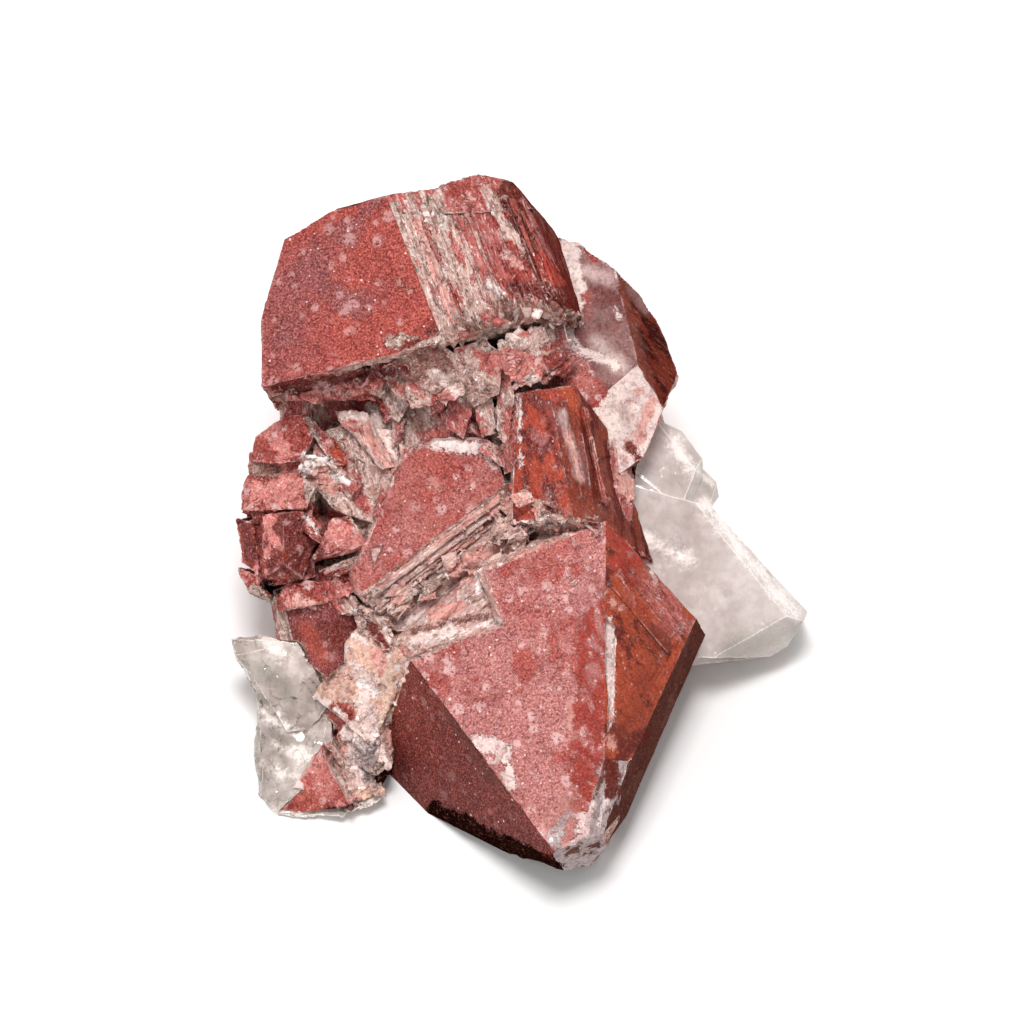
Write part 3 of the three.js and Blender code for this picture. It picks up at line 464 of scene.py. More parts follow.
CRYSTAL_FACES = tuple(CrystalFace(*row) for row in (
    (Zone.MAIN_FACE, (MAIN_TOP, MAIN_LEFT, MAIN_NOSE), (3, -18, 15), 22),
    (Zone.SLOPE, (MAIN_LEFT, MAIN_NOSE, (-10.8, -28.5, 1.5)), (-5, -26, 9), 18),
    (Zone.UNDERSIDE, ((-8.6, -30.6, 3.3), (4, -34.1, 17.8), (-1, -35.2, 2)), (-2, -33, 8), 14),
    (Zone.UNDERSIDE, ((5.7, -36.2, 15), (-2.6, -34.5, 6), (4, -33, -4)), (4, -34, 4), 20),
    (Zone.UNDERSIDE, ((-10.7, -28.8, 1.5), (-7, -32.2, 2.5), (-9, -29.8, -6)), (-9, -30, -1), 10),
    (Zone.PRISM, ((10.4, -6, 13.4), (10.2, -29, 18.8), (20.3, -13, 8)), (14, -14, 12), 18),
    (Zone.BEVEL, ((19.2, -12.1, 8.6), (13.2, -24.5, 15.6), (20.6, -13.1, 3)), (17, -18, 9), 16),
    (Zone.BEVEL, ((20.6, -13.1, 3), (11.3, -33.5, 12.6), (18, -17.5, -9)), (17, -20, 2), 22),
    (Zone.PRISM, ((10.8, -2.4, 12.5), (20.5, -12.9, 7.5), (13.5, -7.5, -6)), (15, -6, 6), 16),
    (Zone.TIP, ((10.2, -25.5, 17.9), (7.7, -34, 19.4), (12, -29.5, 16.6)), (10, -30, 17), 7),
    (Zone.TIP, ((5, -34.4, 19), (5.7, -36.2, 15), (10.4, -34.9, 13)), (7, -35, 16), 6),
    (Zone.TIP, ((9, -35.6, 15), (11.9, -31.5, 15), (10.6, -33.8, 9)), (10, -34, 13), 9),
    (Zone.END_FACE, ((-5.5, 15.4, 16), (-23.2, 11.2, 13), (-11, 29.5, 12)), (-14, 20, 14), 16),
    (Zone.RIBBED, ((-11, 29.5, 12), (-5.5, 15.4, 16), (3, 29, 9.1)), (-2, 24, 12), 13),
    (Zone.POLISHED, ((2, 30.8, 8.4), (6, 20, 11.6), (7.1, 22, 5)), (5, 25, 8), 9),
    (Zone.POLISHED, ((6.2, 26, 5), (7.6, 19.6, 5), (6, 22, -6)), (6.5, 22, 3), 12),
    (Zone.RUBBLE, ((-5.5, 15.3, 16), (-23.2, 11, 13), (-14, 12.3, 5)), (-14, 13, 9), 14),
    (Zone.RUBBLE, ((-5.3, 15.3, 16), (6.5, 18.6, 11.5), (0, 14.2, 4)), (1, 16, 9), 12),
    (Zone.SLOPE, ((-23.3, 11, 13), (-23.5, 18, 12), (-22.9, 14, -4)), (-23, 15, 5), 16),
    (Zone.SLOPE, ((-23.4, 18, 12), (-21.2, 25.6, 11), (-21.5, 20, -4)), (-22, 21, 4), 18),
    (Zone.SLOPE, ((-21.2, 25.6, 11), (-15, 29.2, 11), (-17, 26.5, -4)), (-18, 27, 3), 18),
    (Zone.SLOPE, ((-15, 29.2, 11.3), (-10.5, 30, 12), (-12, 29, -6)), (-8, 30, 2), 20),
    (Zone.SLOPE, ((-10.5, 30, 12), (-2, 32.1, 9), (-6, 30.4, -8)), (-4, 31, 0), 20),
    (Zone.POLISHED, ((1.2, 31.4, 8), (6.2, 26, 5), (3.2, 28, -6)), (4, 28, 2), 16),
    (Zone.SMOKY, ((9, 24.5, 0.5), (14.8, 10, 6.5), (6, 12, 6.5)), (10, 17, 4), 14),
    (Zone.SMOKY_SIDE, ((11.7, 22.4, 1.2), (14.9, 8, 7.4), (17.2, 14.5, 0)), (15, 15, 3), 12),
    (Zone.SMOKY_SIDE, ((13.9, 20.7, -0.5), (15.8, 18.2, -0.5), (13, 17, -10)), (15, 19, -4), 14),
    (Zone.SMOKY_SIDE, ((15.8, 18.2, -0.5), (17.4, 13.4, -0.5), (15, 14, -10)), (16, 15, -5), 16),
    (Zone.SMOKY, ((8.3, 25.3, -0.5), (13.9, 20.7, -0.5), (11, 20, -10)), (11, 22, -4), 16),
    (Zone.PALE_BREAK, ((8.8, 9.2, 7.5), (13, 12.8, 5.4), (14, 4.5, 6.5)), (12.5, 8.5, 6.4), 7),
    (Zone.RIDGE_LEFT, ((1.7, 10.4, 10), (4.8, 10.8, 12.2), (6.8, 0, 13.5)), (3.6, 4, 11.5), 10),
    (Zone.RIDGE_TOP, ((4.8, 10.8, 12.2), (6.8, 0, 13.5), (7.5, 11, 11.6)), (6.8, 5, 12.6), 9),
    (Zone.RIDGE_RIGHT, ((7.5, 11, 11.5), (9.7, -1.5, 12.5), (12.8, 0, 6)), (10, 4, 10), 10),
    (Zone.RIDGE_RIGHT, ((7.6, 11.1, 11.4), (11.4, 6, 7), (9, 8, 0)), (9.6, 8, 6), 9),
    (Zone.PALE_BREAK, ((1.5, 10.5, 10), (1.4, 0, 10.5), (0.6, 5, 3)), (1.3, 5, 8), 8),
    (Zone.FLAT_FACE, ((-9.4, 4.6, 8), (0.3, 2.6, 7.3), (-13.9, -9, 9.3)), (-6, -1, 8.2), 13),
    (Zone.STRIATED, ((-0.3, 1, 7.6), (-13.8, -9.2, 9.4), (2.1, -2.4, 4.2)), (-6, -5.5, 7), 13),
    (Zone.PALE_BREAK, ((-7, 5.8, 8), (-1.3, 6, 7.4), (-4, 6.8, 2)), (-4, 6, 7), 5),
    (Zone.SMALL_POINT, ((-16.8, -9.8, 6.8), (-17, -17.5, 7.6), (-21.5, -11.5, 3.6)), (-19, -13, 5), 7),
    (Zone.SMALL_POINT, ((-16.8, -9.8, 6.8), (-17, -17.5, 7.6), (-13, -13.5, 4.6)), (-15, -13.5, 6), 7),
    (Zone.WEDGE, ((-17.8, -25, 6.6), (-22.2, -31, 4.6), (-14.8, -30.2, 7.4)), (-18, -29, 6), 7),
))

STONE_REGIONS = tuple(StoneRegion(*row) for row in (
    (Zone.BAND, (-2, -8, 8), (14, 6, 8)),
    (Zone.RUBBLE, (3.6, -2.2, 9), (6.5, 3.2, 6)),
    (Zone.BLOCK, (-21, -1, 5), (6.6, 10.6, 9)),
    (Zone.BLOCK, (-16, -4.6, 8), (3.6, 3.2, 4)),
    (Zone.RUBBLE, (-17.4, 2.2, 7.6), (2.8, 1.9, 3)),
    (Zone.CRUST, (-13.4, -17.4, 6.6), (4.6, 6.4, 6)),
    (Zone.RUBBLE, (-12.6, -26, 6), (3.4, 4.4, 5)),
    (Zone.PRISM, (15.8, -9, 10), (3.2, 5.2, 4)),
    (Zone.PRISM, (14.0, -12.6, 13), (3.4, 4.8, 5)),
    (Zone.RIDGE_TOP, (7, 5, 12.5), (2.6, 6.6, 2.4)),
    (Zone.PALE_BREAK, (10.8, -17, 16), (1.7, 8, 4)),
    (Zone.PALE_BREAK, (-0.6, -25.6, 14), (3.2, 4.2, 6)),
    (Zone.UNDERSIDE, (-1, -31, 2), (13, 8, 10)),
))


def line_distance(places: Array, start: Sequence[float], end: Sequence[float]) -> Array:
    """Distance of each place from the straight line between two others."""
    along = np.array(end) - np.array(start)
    away = places - np.array(start)
    share = np.clip(away @ along / (along @ along), 0.0, 1.0)
    return np.linalg.norm(away - share[:, None] * along, axis=1)


SOFT = True
CRISP = False


@dataclass(frozen=True)
class Patch:
    """A place, as seen from the display side, that is of another look than the stone round it.

    Args:
        look: What it is made of.
        start: One end of its middle line.
        end: The other end.
        radius: Half its width, in millimetres.
        soft: Whether it fades out instead of ending at a ragged border.
        zones: The kinds of surface that take it, if they are others than its neighbours'.
    """

    look: Look
    start: Spot
    end: Spot
    radius: float
    soft: bool = CRISP
    zones: tuple[Zone, ...] = ()


def patches(zones: tuple[Zone, ...], rows: Sequence[tuple[Any, ...]]) -> tuple[Patch, ...]:
    """The patches of one part of the cluster, which lie on the given kinds of surface if they name no others."""
    made = (Patch(*row) for row in rows)
    return tuple(patch if patch.zones else replace(patch, zones=zones) for patch in made)


END = (Zone.END_FACE,)
MAIN = (Zone.MAIN_FACE,)
PRISM = (Zone.PRISM,)
FLAT = (Zone.FLAT_FACE,)
RIDGE = (Zone.RIDGE_LEFT, Zone.RIDGE_TOP, Zone.RIDGE_RIGHT)
RIBS = (Zone.RIBBED, Zone.POLISHED, Zone.VEIN)
SMOKY = (Zone.SMOKY, Zone.PALE_BREAK, Zone.VEIN)
DARK = (Zone.SLOPE,)
POINTED = (Zone.SMALL_POINT,)
NEAR_TIP = (Zone.MAIN_FACE, Zone.TIP, Zone.UNDERSIDE, Zone.BEVEL)

END_PATCHES = patches(END, (  # the upper crystal's end face
    (BROWN_FACE, (-21.5, 21), (-21, 13), 3.4, SOFT),
    (BROWN_FACE, (-17, 24), (-20.5, 20), 2.0, SOFT),
    (RED_FACE, (-10.5, 24), (-9, 17), 3.0, SOFT),
    (DARK_GREIGE, (-10.6, 15.2), (-5.6, 16.0), 0.7),
    (DARK_FACE, (-9.2, 15.0), (-5.8, 16.7), 0.45),
    (SOFT_SCAR, (-9.8, 21.4), (-8.8, 20.2), 0.3),
))
RIB_PATCHES = patches(RIBS, (  # its ribbed side
    (BRICK_STONE, (-1.8, 29.6), (1.8, 21.6), 2.0),
    (DARK_GLASS, (2.4, 30.6), (5.6, 21), 2.4),
    (DARK_GREIGE, (-10.8, 28.2), (-8.1, 21), 1.0),
    (GREIGE, (-8.4, 21), (-4.4, 15.9), 0.95),
    (PINK_STONE, (-8.2, 27.6), (-4.6, 17.6), 0.3),
    (DARK_GREIGE, (-6.6, 28.8), (-5.4, 27), 1.1),
    (BRICK_STONE, (-4.4, 30.6), (-3, 29.6), 1.2),
    (BRICK_STONE, (-3.6, 20.4), (-2.4, 19), 0.8),
    (PALE_STONE, (-5.2, 22.6), (-4.2, 21.4), 0.5),
    (GREIGE, (-5.8, 25.4), (-2.2, 18.6), 0.7),
    (GREIGE, (-1.6, 30.6), (2.2, 24), 0.55),
    (ROSE_STONE, (-2.6, 28.6), (0.4, 22.4), 0.9),
    (MAUVE_GLASS, (0.4, 30.6), (4.6, 22.6), 0.95, CRISP, (Zone.RIBBED,)),
    (BRICK_STONE, (0.9, 24.2), (2.4, 21.4), 1.1),
    (VIOLET_FACE, (2.2, 29.6), (5.6, 22.6), 0.35),
    (RED_GLASS, (4.2, 23.6), (5.8, 21.4), 0.8),
    (DARK_GLASS, (3.4, 29.6), (7, 22.6), 0.6),
    (WHITE_SCAR_AND_HIGHLIGHT, (-0.9, 21), (0.2, 20.2), 0.45),
    (PINK_STONE, (1.4, 23.4), (2.2, 22.8), 0.35),
    (MAROON_STONE, (1.2, 20.8), (5.6, 20.2), 0.8),
    (BROWN_STONE, (0.8, 18.4), (5.4, 17.8), 1.2),
    (BROWN_STONE, (-3.6, 17.2), (-1.4, 16.6), 0.7),
))
LEDGE_PATCHES = patches(BROKEN_ZONES, (  # the stone under it
    (DARK_GREIGE, (-3.6, 17.2), (1.4, 15.0), 1.5),
    (BROWN_STONE, (2.6, 17.4), (6.4, 17.6), 1.0),
    (BRICK_STONE, (4.6, 15.6), (6.8, 15.2), 0.9),
    (ROSE_STONE, (-22.6, 11.2), (-15, 12.2), 0.7),
    (BROWN_STONE, (-9.6, 12.6), (-6, 13.4), 1.4),
    (BROWN_STONE, (-9.4, 14.8), (-5.6, 15.4), 0.7),
    (PALE_STONE, (-6.4, 12.2), (-3.6, 9.8), 0.6),
    (GREIGE, (-11, 9.6), (-7.4, 8.4), 1.7),
    (WHITE_CRUST, (-6.2, 9.2), (-5.6, 9.2), 0.25),
    (ROSE_STONE, (-5.6, 9.4), (-3.6, 7.8), 1.4),
    (GREIGE, (-3.2, 11.6), (-1.6, 9.8), 1.0),
    (GREIGE, (-0.9, 10.6), (0.1, 5.6), 0.5),
    (ROSE_STONE, (1.2, 8.0), (1.2, 3.6), 0.9, CRISP, (Zone.VEIN, Zone.PALE_BREAK)),
    (WHITE_SCAR_AND_HIGHLIGHT, (1.9, 10.2), (2.0, 3.2), 0.18, CRISP, (Zone.VEIN, Zone.PALE_BREAK, Zone.RIDGE_LEFT)),
    (SALMON_STONE, (0.6, 13.6), (4, 12.2), 1.5),
    (ORANGE_STONE, (6, 13.2), (8.4, 11.2), 1.6),
    (PALE_STONE, (3.2, 11.9), (3.8, 11.5), 0.5),
    (GREIGE, (2.6, 15.4), (4.8, 16), 0.7),
    (BRICK_STONE, (-13.6, 9.6), (-12.2, 8.6), 1.3),
    (SALMON_STONE, (-18, 10.8), (-14.4, 11.2), 0.9),
    # Painted shadow: a dark strip under the upper crystal's overhang.
    (MAROON_STONE, (-22, 11), (-9.4, 12.6), 0.6),
    (PALE_STONE, (-12.8, 9.2), (-11, 4.2), 0.7),
))
CLUSTER_PATCHES = patches(BROKEN_ZONES, (  # the broken cluster
    (PINK_STONE, (-23.6, 7.4), (-22.4, 6.6), 0.5),
    (PINK_STONE, (-14.8, -2.4), (-15.8, -4.2), 0.45),
    (UMBER_GLASS, (-21.8, -2.8), (-20.6, -5.6), 0.8),
    (SALMON_STONE, (-24.4, 1.2), (-22.2, -0.6), 0.8),
    (MAROON_STONE, (-24.2, -2.4), (-23.6, -4.2), 0.8),
    (PALE_STONE, (-22.4, 0.2), (-21, 0.8), 0.4),
    (ORANGE_STONE, (-22.6, -1.8), (-21.4, -2.6), 0.8),
    (PINK_STONE, (-18.4, 4.6), (-16.6, 1.6), 1.0),
    (WHITE_CRUST, (-19.2, 3.0), (-17.6, 2.2), 0.6),
    (SALMON_STONE, (-22.4, 6.6), (-20.6, 5.6), 1.4),
    (BRICK_STONE, (-20.4, 7.6), (-19.6, 6.2), 1.2),
    (DARK_GREIGE, (-19, 8.2), (-17.8, 5.6), 0.4),
    (ORANGE_STONE, (-16.4, 5.1), (-15.6, 3.8), 0.75),
    (WHITE_CRUST, (-18.8, 3.8), (-17, 3.6), 0.9),
    (PINK_STONE, (-18, 2.4), (-16, 2.2), 0.9),
    (WHITE_CRUST, (-16.4, 2.6), (-15, 1.6), 0.35),
    (DARK_GREIGE, (-16.4, 7), (-15, 5.8), 0.9),
    (GREIGE, (-14.6, 5.8), (-11.4, 1.8), 1.0),
    (PINK_STONE, (-13.6, 7.6), (-10.9, 3.4), 0.65),
    (PALE_STONE, (-15.6, 8.3), (-13.4, 8.3), 0.5),
    (BROWN_STONE, (-24.6, 3.2), (-22.4, 2.8), 0.6),
    (SALMON_STONE, (-23, 0.6), (-20.6, 1.6), 1.1),
    (SALMON_STONE, (-21, 0.2), (-20, -0.6), 1.0),
    (DARK_GREIGE, (-18.4, 0.6), (-17.2, -0.6), 0.9),
    (SALMON_STONE, (-22.8, -2.4), (-21.6, -3.8), 1.0),
    (MAROON_STONE, (-20.6, -2.6), (-18.6, -6), 1.5),
    (MAROON_STONE, (-22.4, -6.4), (-20, -7.4), 0.8),
    (WHITE_SCAR_AND_HIGHLIGHT, (-19, -1.8), (-18, -3), 0.45),
    (SALMON_STONE, (-16.6, -2.4), (-14, -4.6), 1.3),
    (GREIGE, (-15.4, -0.2), (-12.2, -3.8), 0.9),
    (GREIGE, (-16.8, -6.6), (-13.2, -5.4), 0.65),
    (MAROON_STONE, (-25.2, -2.6), (-24.8, -6), 0.8),
    (BRICK_STONE, (-20, -9), (-17, -8.6), 1.1),
    (SALMON_STONE, (-15.4, -8.4), (-12.4, -7.6), 1.0),
    (NEAR_BLACK, (-23.2, -8.4), (-22.4, -9), 0.6),
    (PINK_STONE, (-20, -10.2), (-17.4, -10.8), 0.6),
    (DARK_GREIGE, (-24.2, -9.4), (-22.8, -10.4), 0.8),
))
FLAT_PATCHES = patches(BROKEN_ZONES, (  # the flat crystal and the stone at its foot
    (WHITE_SCAR_AND_HIGHLIGHT, (-6.4, 5.5), (-1.8, 5.0), 0.6, CRISP, (Zone.FLAT_FACE, Zone.PALE_BREAK)),
    (PINK_SCAR_AND_HIGHLIGHT, (-1.8, 5.0), (-0.2, 3.2), 0.4, CRISP, FLAT),
    (SOFT_SCAR, (-6.6, 1.8), (-6.0, 1.4), 0.7, CRISP, FLAT),
    (PINK_FACE, (-12.6, -5.4), (-9, -3), 1.4, SOFT, FLAT),
    (PINK_FACE, (-5, -0.6), (-1.6, 2.8), 0.9, SOFT, FLAT),
    (BRICK_FACE, (-7.4, 4.2), (-5.6, 2.8), 1.3, SOFT, FLAT),
    (BROWN_STONE, (-0.2, 2.6), (1.2, -0.6), 0.6),
    (DARK_GREIGE, (-2.6, 1), (-1, -1), 1.1, CRISP, (Zone.STRIATED,)),
    (PINK_STONE, (1.2, -0.4), (2.8, -1.2), 0.9),
    (WHITE_CRUST, (2.2, -1.8), (2.6, -2.2), 0.35),
    (PALE_STONE, (2.8, -2.8), (5, -1.8), 0.5),
    (MAROON_STONE, (5, -0.9), (8.4, -1.4), 0.7),
    (PINK_STONE, (-4.4, -7.4), (-1.8, -5.4), 1.1),
    (DARK_GREIGE, (-8.6, -9.8), (-5.4, -7.4), 0.6),
    (PALE_STONE, (-9.8, -12.4), (-3.6, -9.4), 0.45),
    (PINK_STONE, (-6.6, -11.2), (-3, -10.2), 0.8),
    (GREIGE, (-3.4, -9.0), (-2.2, -10.6), 0.7),
    (BROWN_STONE, (-8.6, -12.9), (-1.4, -11.5), 0.42),
    (PALE_STONE, (-8.6, -14), (-5, -12.6), 0.5),
    (WHITE_SCAR_AND_HIGHLIGHT, (-7.4, -14), (-0.2, -11.8), 0.34, CRISP, (Zone.MAIN_FACE, *BROKEN_ZONES)),
    (WHITE_SCAR_AND_HIGHLIGHT, (-1.9, -6.4), (-2.2, -9.2), 0.3, CRISP, (Zone.MAIN_FACE, *BROKEN_ZONES)),
))
MAIN_PATCHES = patches(MAIN, (  # the main crystal's broad face
    (VIOLET_FACE, (8.6, -9), (9.6, -12), 1.3, SOFT),
    (VIOLET_FACE, (8.4, -15.6), (8.8, -16.6), 0.9),
    (SOFT_SCAR, (7, -20), (7.3, -22.4), 0.5, SOFT),
    (VIOLET_FACE, (9.1, -23.8), (9.2, -24.4), 0.6),
    (BROWN_FACE, (7.6, -4.6), (7.7, -4.7), 0.5),
    (SOFT_SCAR, (6.6, -6.8), (7.2, -8), 0.35),
    (BRICK_FACE, (3.4, -6.6), (7.6, -3.8), 1.0, SOFT),
    (BRICK_FACE, (0.4, -10.6), (5, -12), 1.4, SOFT),
    (ORANGE_STRIP, (9.4, -12), (8.3, -29.6), 1.5),
    (ORANGE_STRIP, (10, -9.6), (10, -17), 0.35),
    (PINK_SCAR_AND_HIGHLIGHT, (-1.9, -23.3), (0.4, -24.2), 0.85, CRISP, (Zone.MAIN_FACE, Zone.VEIN, Zone.PALE_BREAK)),
    (PINK_SCAR_AND_HIGHLIGHT, (0.2, -24.4), (1.3, -27.8), 0.5, CRISP, (Zone.MAIN_FACE, Zone.VEIN, Zone.PALE_BREAK)),
    (SOFT_SCAR, (6.2, -29.6), (5.2, -33.4), 1.3, SOFT),
    (GREY_GLASS, (6.2, -30.8), (5.4, -33), 0.7, CRISP, NEAR_TIP),
    # Partly grey glass and partly painted highlight: a grey streak with a white line down the tip.
    (GREY_GLASS, (11.0, -27.4), (8.6, -33), 0.9, CRISP, NEAR_TIP),
    (WHITE_SCAR_AND_HIGHLIGHT, (10.5, -28.6), (9.6, -31.4), 0.22, CRISP, NEAR_TIP),
    (VIOLET_GLASS, (9.8, -26.2), (11.4, -26.8), 0.6, CRISP, (Zone.TIP, *MAIN, *PRISM)),
    (PINK_SCAR_AND_HIGHLIGHT, (8.2, -30.8), (7.2, -33.2), 0.5, CRISP, NEAR_TIP),
    (PINK_FACE, (3.6, -27), (5.6, -30.4), 0.9, SOFT),
))
PRISM_PATCHES = patches(PRISM, (  # its right face
    (RED_GLASS, (11.8, -3.6), (13.6, -5.2), 1.2),
    (RED_GLASS, (11.6, -5.8), (12.6, -7.6), 0.8),
    # Painted highlight: a white glint on the prism face.
    (WHITE_SCAR_AND_HIGHLIGHT, (14.8, -6.8), (15.2, -8.2), 0.3),
    (MAUVE_GLASS, (14.8, -9.4), (16.8, -12), 0.5),
    (MAUVE_GLASS, (16.4, -8.8), (18.8, -12.6), 0.5),
    (MAUVE_GLASS, (12.2, -8.6), (13.2, -10), 0.4),
    (SOFT_SCAR, (10.8, -9.6), (11.8, -10.6), 0.4, CRISP, (Zone.PRISM, Zone.MAIN_FACE)),
    (ROSE_STONE, (14.6, -8), (17.4, -12.6), 1.0, SOFT),
    (UMBER_GLASS, (15.8, -13.6), (12.4, -22.4), 1.2, SOFT),
    # Painted reflection: the narrow bright facet along the edge between the broad face and the prism.
    (WHITE_SCAR_AND_HIGHLIGHT, (10.75, -11.6), (10.95, -21.2), 0.12, CRISP, (Zone.PRISM, Zone.MAIN_FACE, Zone.VEIN, Zone.PALE_BREAK)),
    (DARK_GLASS, (13.6, -23), (11.4, -25.6), 0.8, CRISP, (Zone.PRISM, Zone.BEVEL)),
    (SOFT_SCAR, (10.6, -23.2), (11, -24.2), 0.4, CRISP, (Zone.PRISM, Zone.MAIN_FACE, Zone.TIP)),
))
DARK_PATCHES = patches(DARK, (  # its dark faces and its tip
    # Painted shadow: a near-black wedge under the main crystal's slope, where it lies in shade.
    (NEAR_BLACK, (-6.2, -31.7), (4.4, -36.2), 1.7, CRISP, (Zone.SLOPE, Zone.UNDERSIDE, Zone.VEIN, Zone.BACK, Zone.TIP)),
    (RUSTY_FACE, (-9, -19), (-8, -23.4), 2.2, SOFT),
    (BROWN_GLASS, (-5, -20.4), (-0.6, -27), 0.6, SOFT),
    (PINK_SCAR_AND_HIGHLIGHT, (9, -29.4), (8.2, -32.4), 0.35, CRISP, (Zone.TIP,)),
    (DARK_GLASS, (10.6, -24.8), (11, -28), 0.7, CRISP, (Zone.TIP, Zone.BEVEL)),
))
RIDGE_PATCHES = patches(RIDGE, (  # the ridged crystal
    (MAROON_STONE, (2.4, 10.4), (3.8, 9.6), 0.7),
    (MAROON_STONE, (2.5, 6.4), (3.1, 5), 0.5),
    (VIOLET_FACE, (3.4, 6.4), (4.2, 5.8), 0.5),
    (RED_GLASS, (4.6, 10.6), (5.6, 9.8), 0.6),
    (VIOLET_GLASS, (4.8, 9), (6, 6.8), 0.7, SOFT),
    (MAROON_STONE, (4.0, 10), (6.6, 1.8), 0.2),
    # Painted highlight: a pale streak along the ridge's crest.
    (PINK_SCAR_AND_HIGHLIGHT, (6.1, 8.4), (7.9, 2.2), 0.38, SOFT),
    (PINK_STONE, (6.6, 6.8), (8, 2), 0.25),
    (ORANGE_GLASS, (6.2, 11), (8.4, 7.8), 0.6),
    (VIOLET_GLASS, (7.8, 5.4), (8.8, 1.6), 0.4, SOFT),
    (PINK_STONE, (11.4, 5.8), (12.6, 2.6), 0.55, CRISP, (Zone.VEIN, Zone.RIDGE_RIGHT)),
    (MAROON_STONE, (12.6, 4.6), (13.2, 0.6), 0.7, CRISP, BROKEN_ZONES),
))
SMOKY_PATCHES = patches(SMOKY, (  # the smoky crystal
    (PALE_STONE, (6.8, 25.4), (7.6, 19.6), 1.1),
    (BRICK_STONE, (8.8, 25), (9.4, 24.2), 0.5),
    (PINK_SCAR_AND_HIGHLIGHT, (8.6, 23), (10.8, 22), 0.6, SOFT),
    (BRICK_STONE, (8.7, 20.2), (9, 18.6), 0.55),
    (VIOLET_GLASS, (6.8, 16.8), (9.6, 14.2), 1.8, SOFT),
    (PALE_STONE, (6.9, 16.6), (7.6, 14.6), 0.55),
    (PALE_STONE, (7.2, 15.4), (11.2, 13.4), 0.45),
    (PALE_STONE, (9.8, 15.4), (11.4, 13.6), 0.9, SOFT),
    (SMOKE_GLASS, (9.4, 19), (11.4, 15.8), 1.0, SOFT),
    (BRICK_STONE, (6, 13.4), (9.2, 10.8), 1.5),
    (SALMON_STONE, (7.6, 13), (8.8, 11.4), 0.8, SOFT),
    (WHITE_SCAR_AND_HIGHLIGHT, (11.6, 23.2), (11.7, 22.2), 0.16),
    (WHITE_SCAR_AND_HIGHLIGHT, (11.6, 18.8), (11.9, 18.2), 0.2),
    (PINK_STONE, (15, 10), (13.8, 6), 0.5, CRISP, (Zone.PALE_BREAK,)),
    (MAROON_STONE, (12.8, 5.2), (14, 3.8), 0.5, CRISP, (Zone.PALE_BREAK, Zone.VEIN)),
    (SMOKE_GLASS, (12.2, 9), (12.6, 8.2), 0.8, SOFT, (Zone.PALE_BREAK,)),
    (UMBER_GLASS, (12, 21.6), (14.4, 11), 0.6, SOFT, (Zone.SMOKY_SIDE,)),
    # Painted highlight: a grey glassy sheen at the top of the smoky crystal's side.
    (SMOKE_GLASS, (13.2, 21), (14.6, 19.2), 0.5, SOFT, (Zone.SMOKY_SIDE,)),
))
CRUST_PATCHES = patches(BROKEN_ZONES, (  # the lower left
    (ORANGE_STONE, (-19.2, -12.8), (-17.6, -15.4), 0.9, SOFT, POINTED),
    (MAROON_STONE, (-15.6, -11.4), (-14.6, -15.6), 1.2, SOFT, POINTED),
    (MAROON_STONE, (-21.2, -11.4), (-20.4, -13.8), 0.7, SOFT, POINTED),
    (BEIGE_STONE, (-20.6, -16.2), (-18, -17.4), 0.8),
    (GREIGE, (-14.6, -10.8), (-12.8, -12.6), 1.0),
    (GREIGE, (-12.4, -9.6), (-10.2, -11.6), 1.0),
    (MAROON_STONE, (-12.4, -12.8), (-11.4, -14.4), 0.7),
    (PINK_STONE, (-12, -15), (-11.6, -17), 0.7),
    (WHITE_CRUST, (-16.4, -18), (-15.2, -19.2), 0.7),
    (PEACH_STONE, (-17.6, -17.8), (-14.4, -18.8), 1.2),
    (WHITE_CRUST, (-13.6, -18), (-12.6, -19), 0.7),
    (PALE_STONE, (-13.6, -19.6), (-12.6, -22), 1.0),
    (BEIGE_STONE, (-11, -17), (-11.6, -22), 0.6),
    (BRICK_STONE, (-15.6, -21.4), (-14.8, -23.2), 1.4),
    (WHITE_CRUST, (-16.2, -20.8), (-15.4, -21.4), 0.3),
    (PALE_STONE, (-13.6, -23.4), (-12.4, -27.6), 1.9),
    (GREY_GLASS, (-13.4, -24.6), (-12, -28), 1.2),
    (WHITE_CRUST, (-14.4, -23.6), (-13.2, -24.6), 0.5),
    (PALE_STONE, (-11.4, -24.6), (-11, -26.6), 0.6),
    (DARK_GREIGE, (-12.2, -26.8), (-11.6, -28), 0.6),
    (PEACH_STONE, (-13.8, -29.2), (-11.2, -28.8), 0.6),
    (NEAR_BLACK, (-17, -31), (-14.6, -30.2), 0.4, CRISP, (Zone.WEDGE, Zone.RUBBLE, Zone.VEIN)),
    (SALMON_STONE, (-17.8, -26.4), (-17.4, -28.6), 0.9, SOFT, (Zone.WEDGE,)),
    (ORANGE_STONE, (-19.6, -29), (-18.4, -30.2), 0.9, SOFT, (Zone.WEDGE,)),
    (PINK_STONE, (12, 3.4), (12.6, 1), 0.8),
))
PATCHES = (
    *END_PATCHES, *RIB_PATCHES, *LEDGE_PATCHES, *CLUSTER_PATCHES, *FLAT_PATCHES, *MAIN_PATCHES,
    *PRISM_PATCHES, *DARK_PATCHES, *RIDGE_PATCHES, *SMOKY_PATCHES, *CRUST_PATCHES,
)


# ---------------- meshes in arrays

WELD_MM = 0.0001
FLAT_ANGLE = math.radians(0.1)
VALUE_NAMES = {"FLOAT": "value", "FLOAT_VECTOR": "vector", "FLOAT_COLOR": "color"}


def coordinates(mesh: Mesh) -> Array:
    """A mesh's vertices, one row each."""
    points = np.zeros(len(mesh.vertices) * 3)
    mesh.vertices.foreach_get("co", points)
    return points.reshape(-1, 3)


def move_vertices(mesh: Mesh, points: Array) -> None:
    """Puts a mesh's vertices in new places, one row each."""
    mesh.vertices.foreach_set("co", points.astype(np.float32).ravel())
    mesh.update()


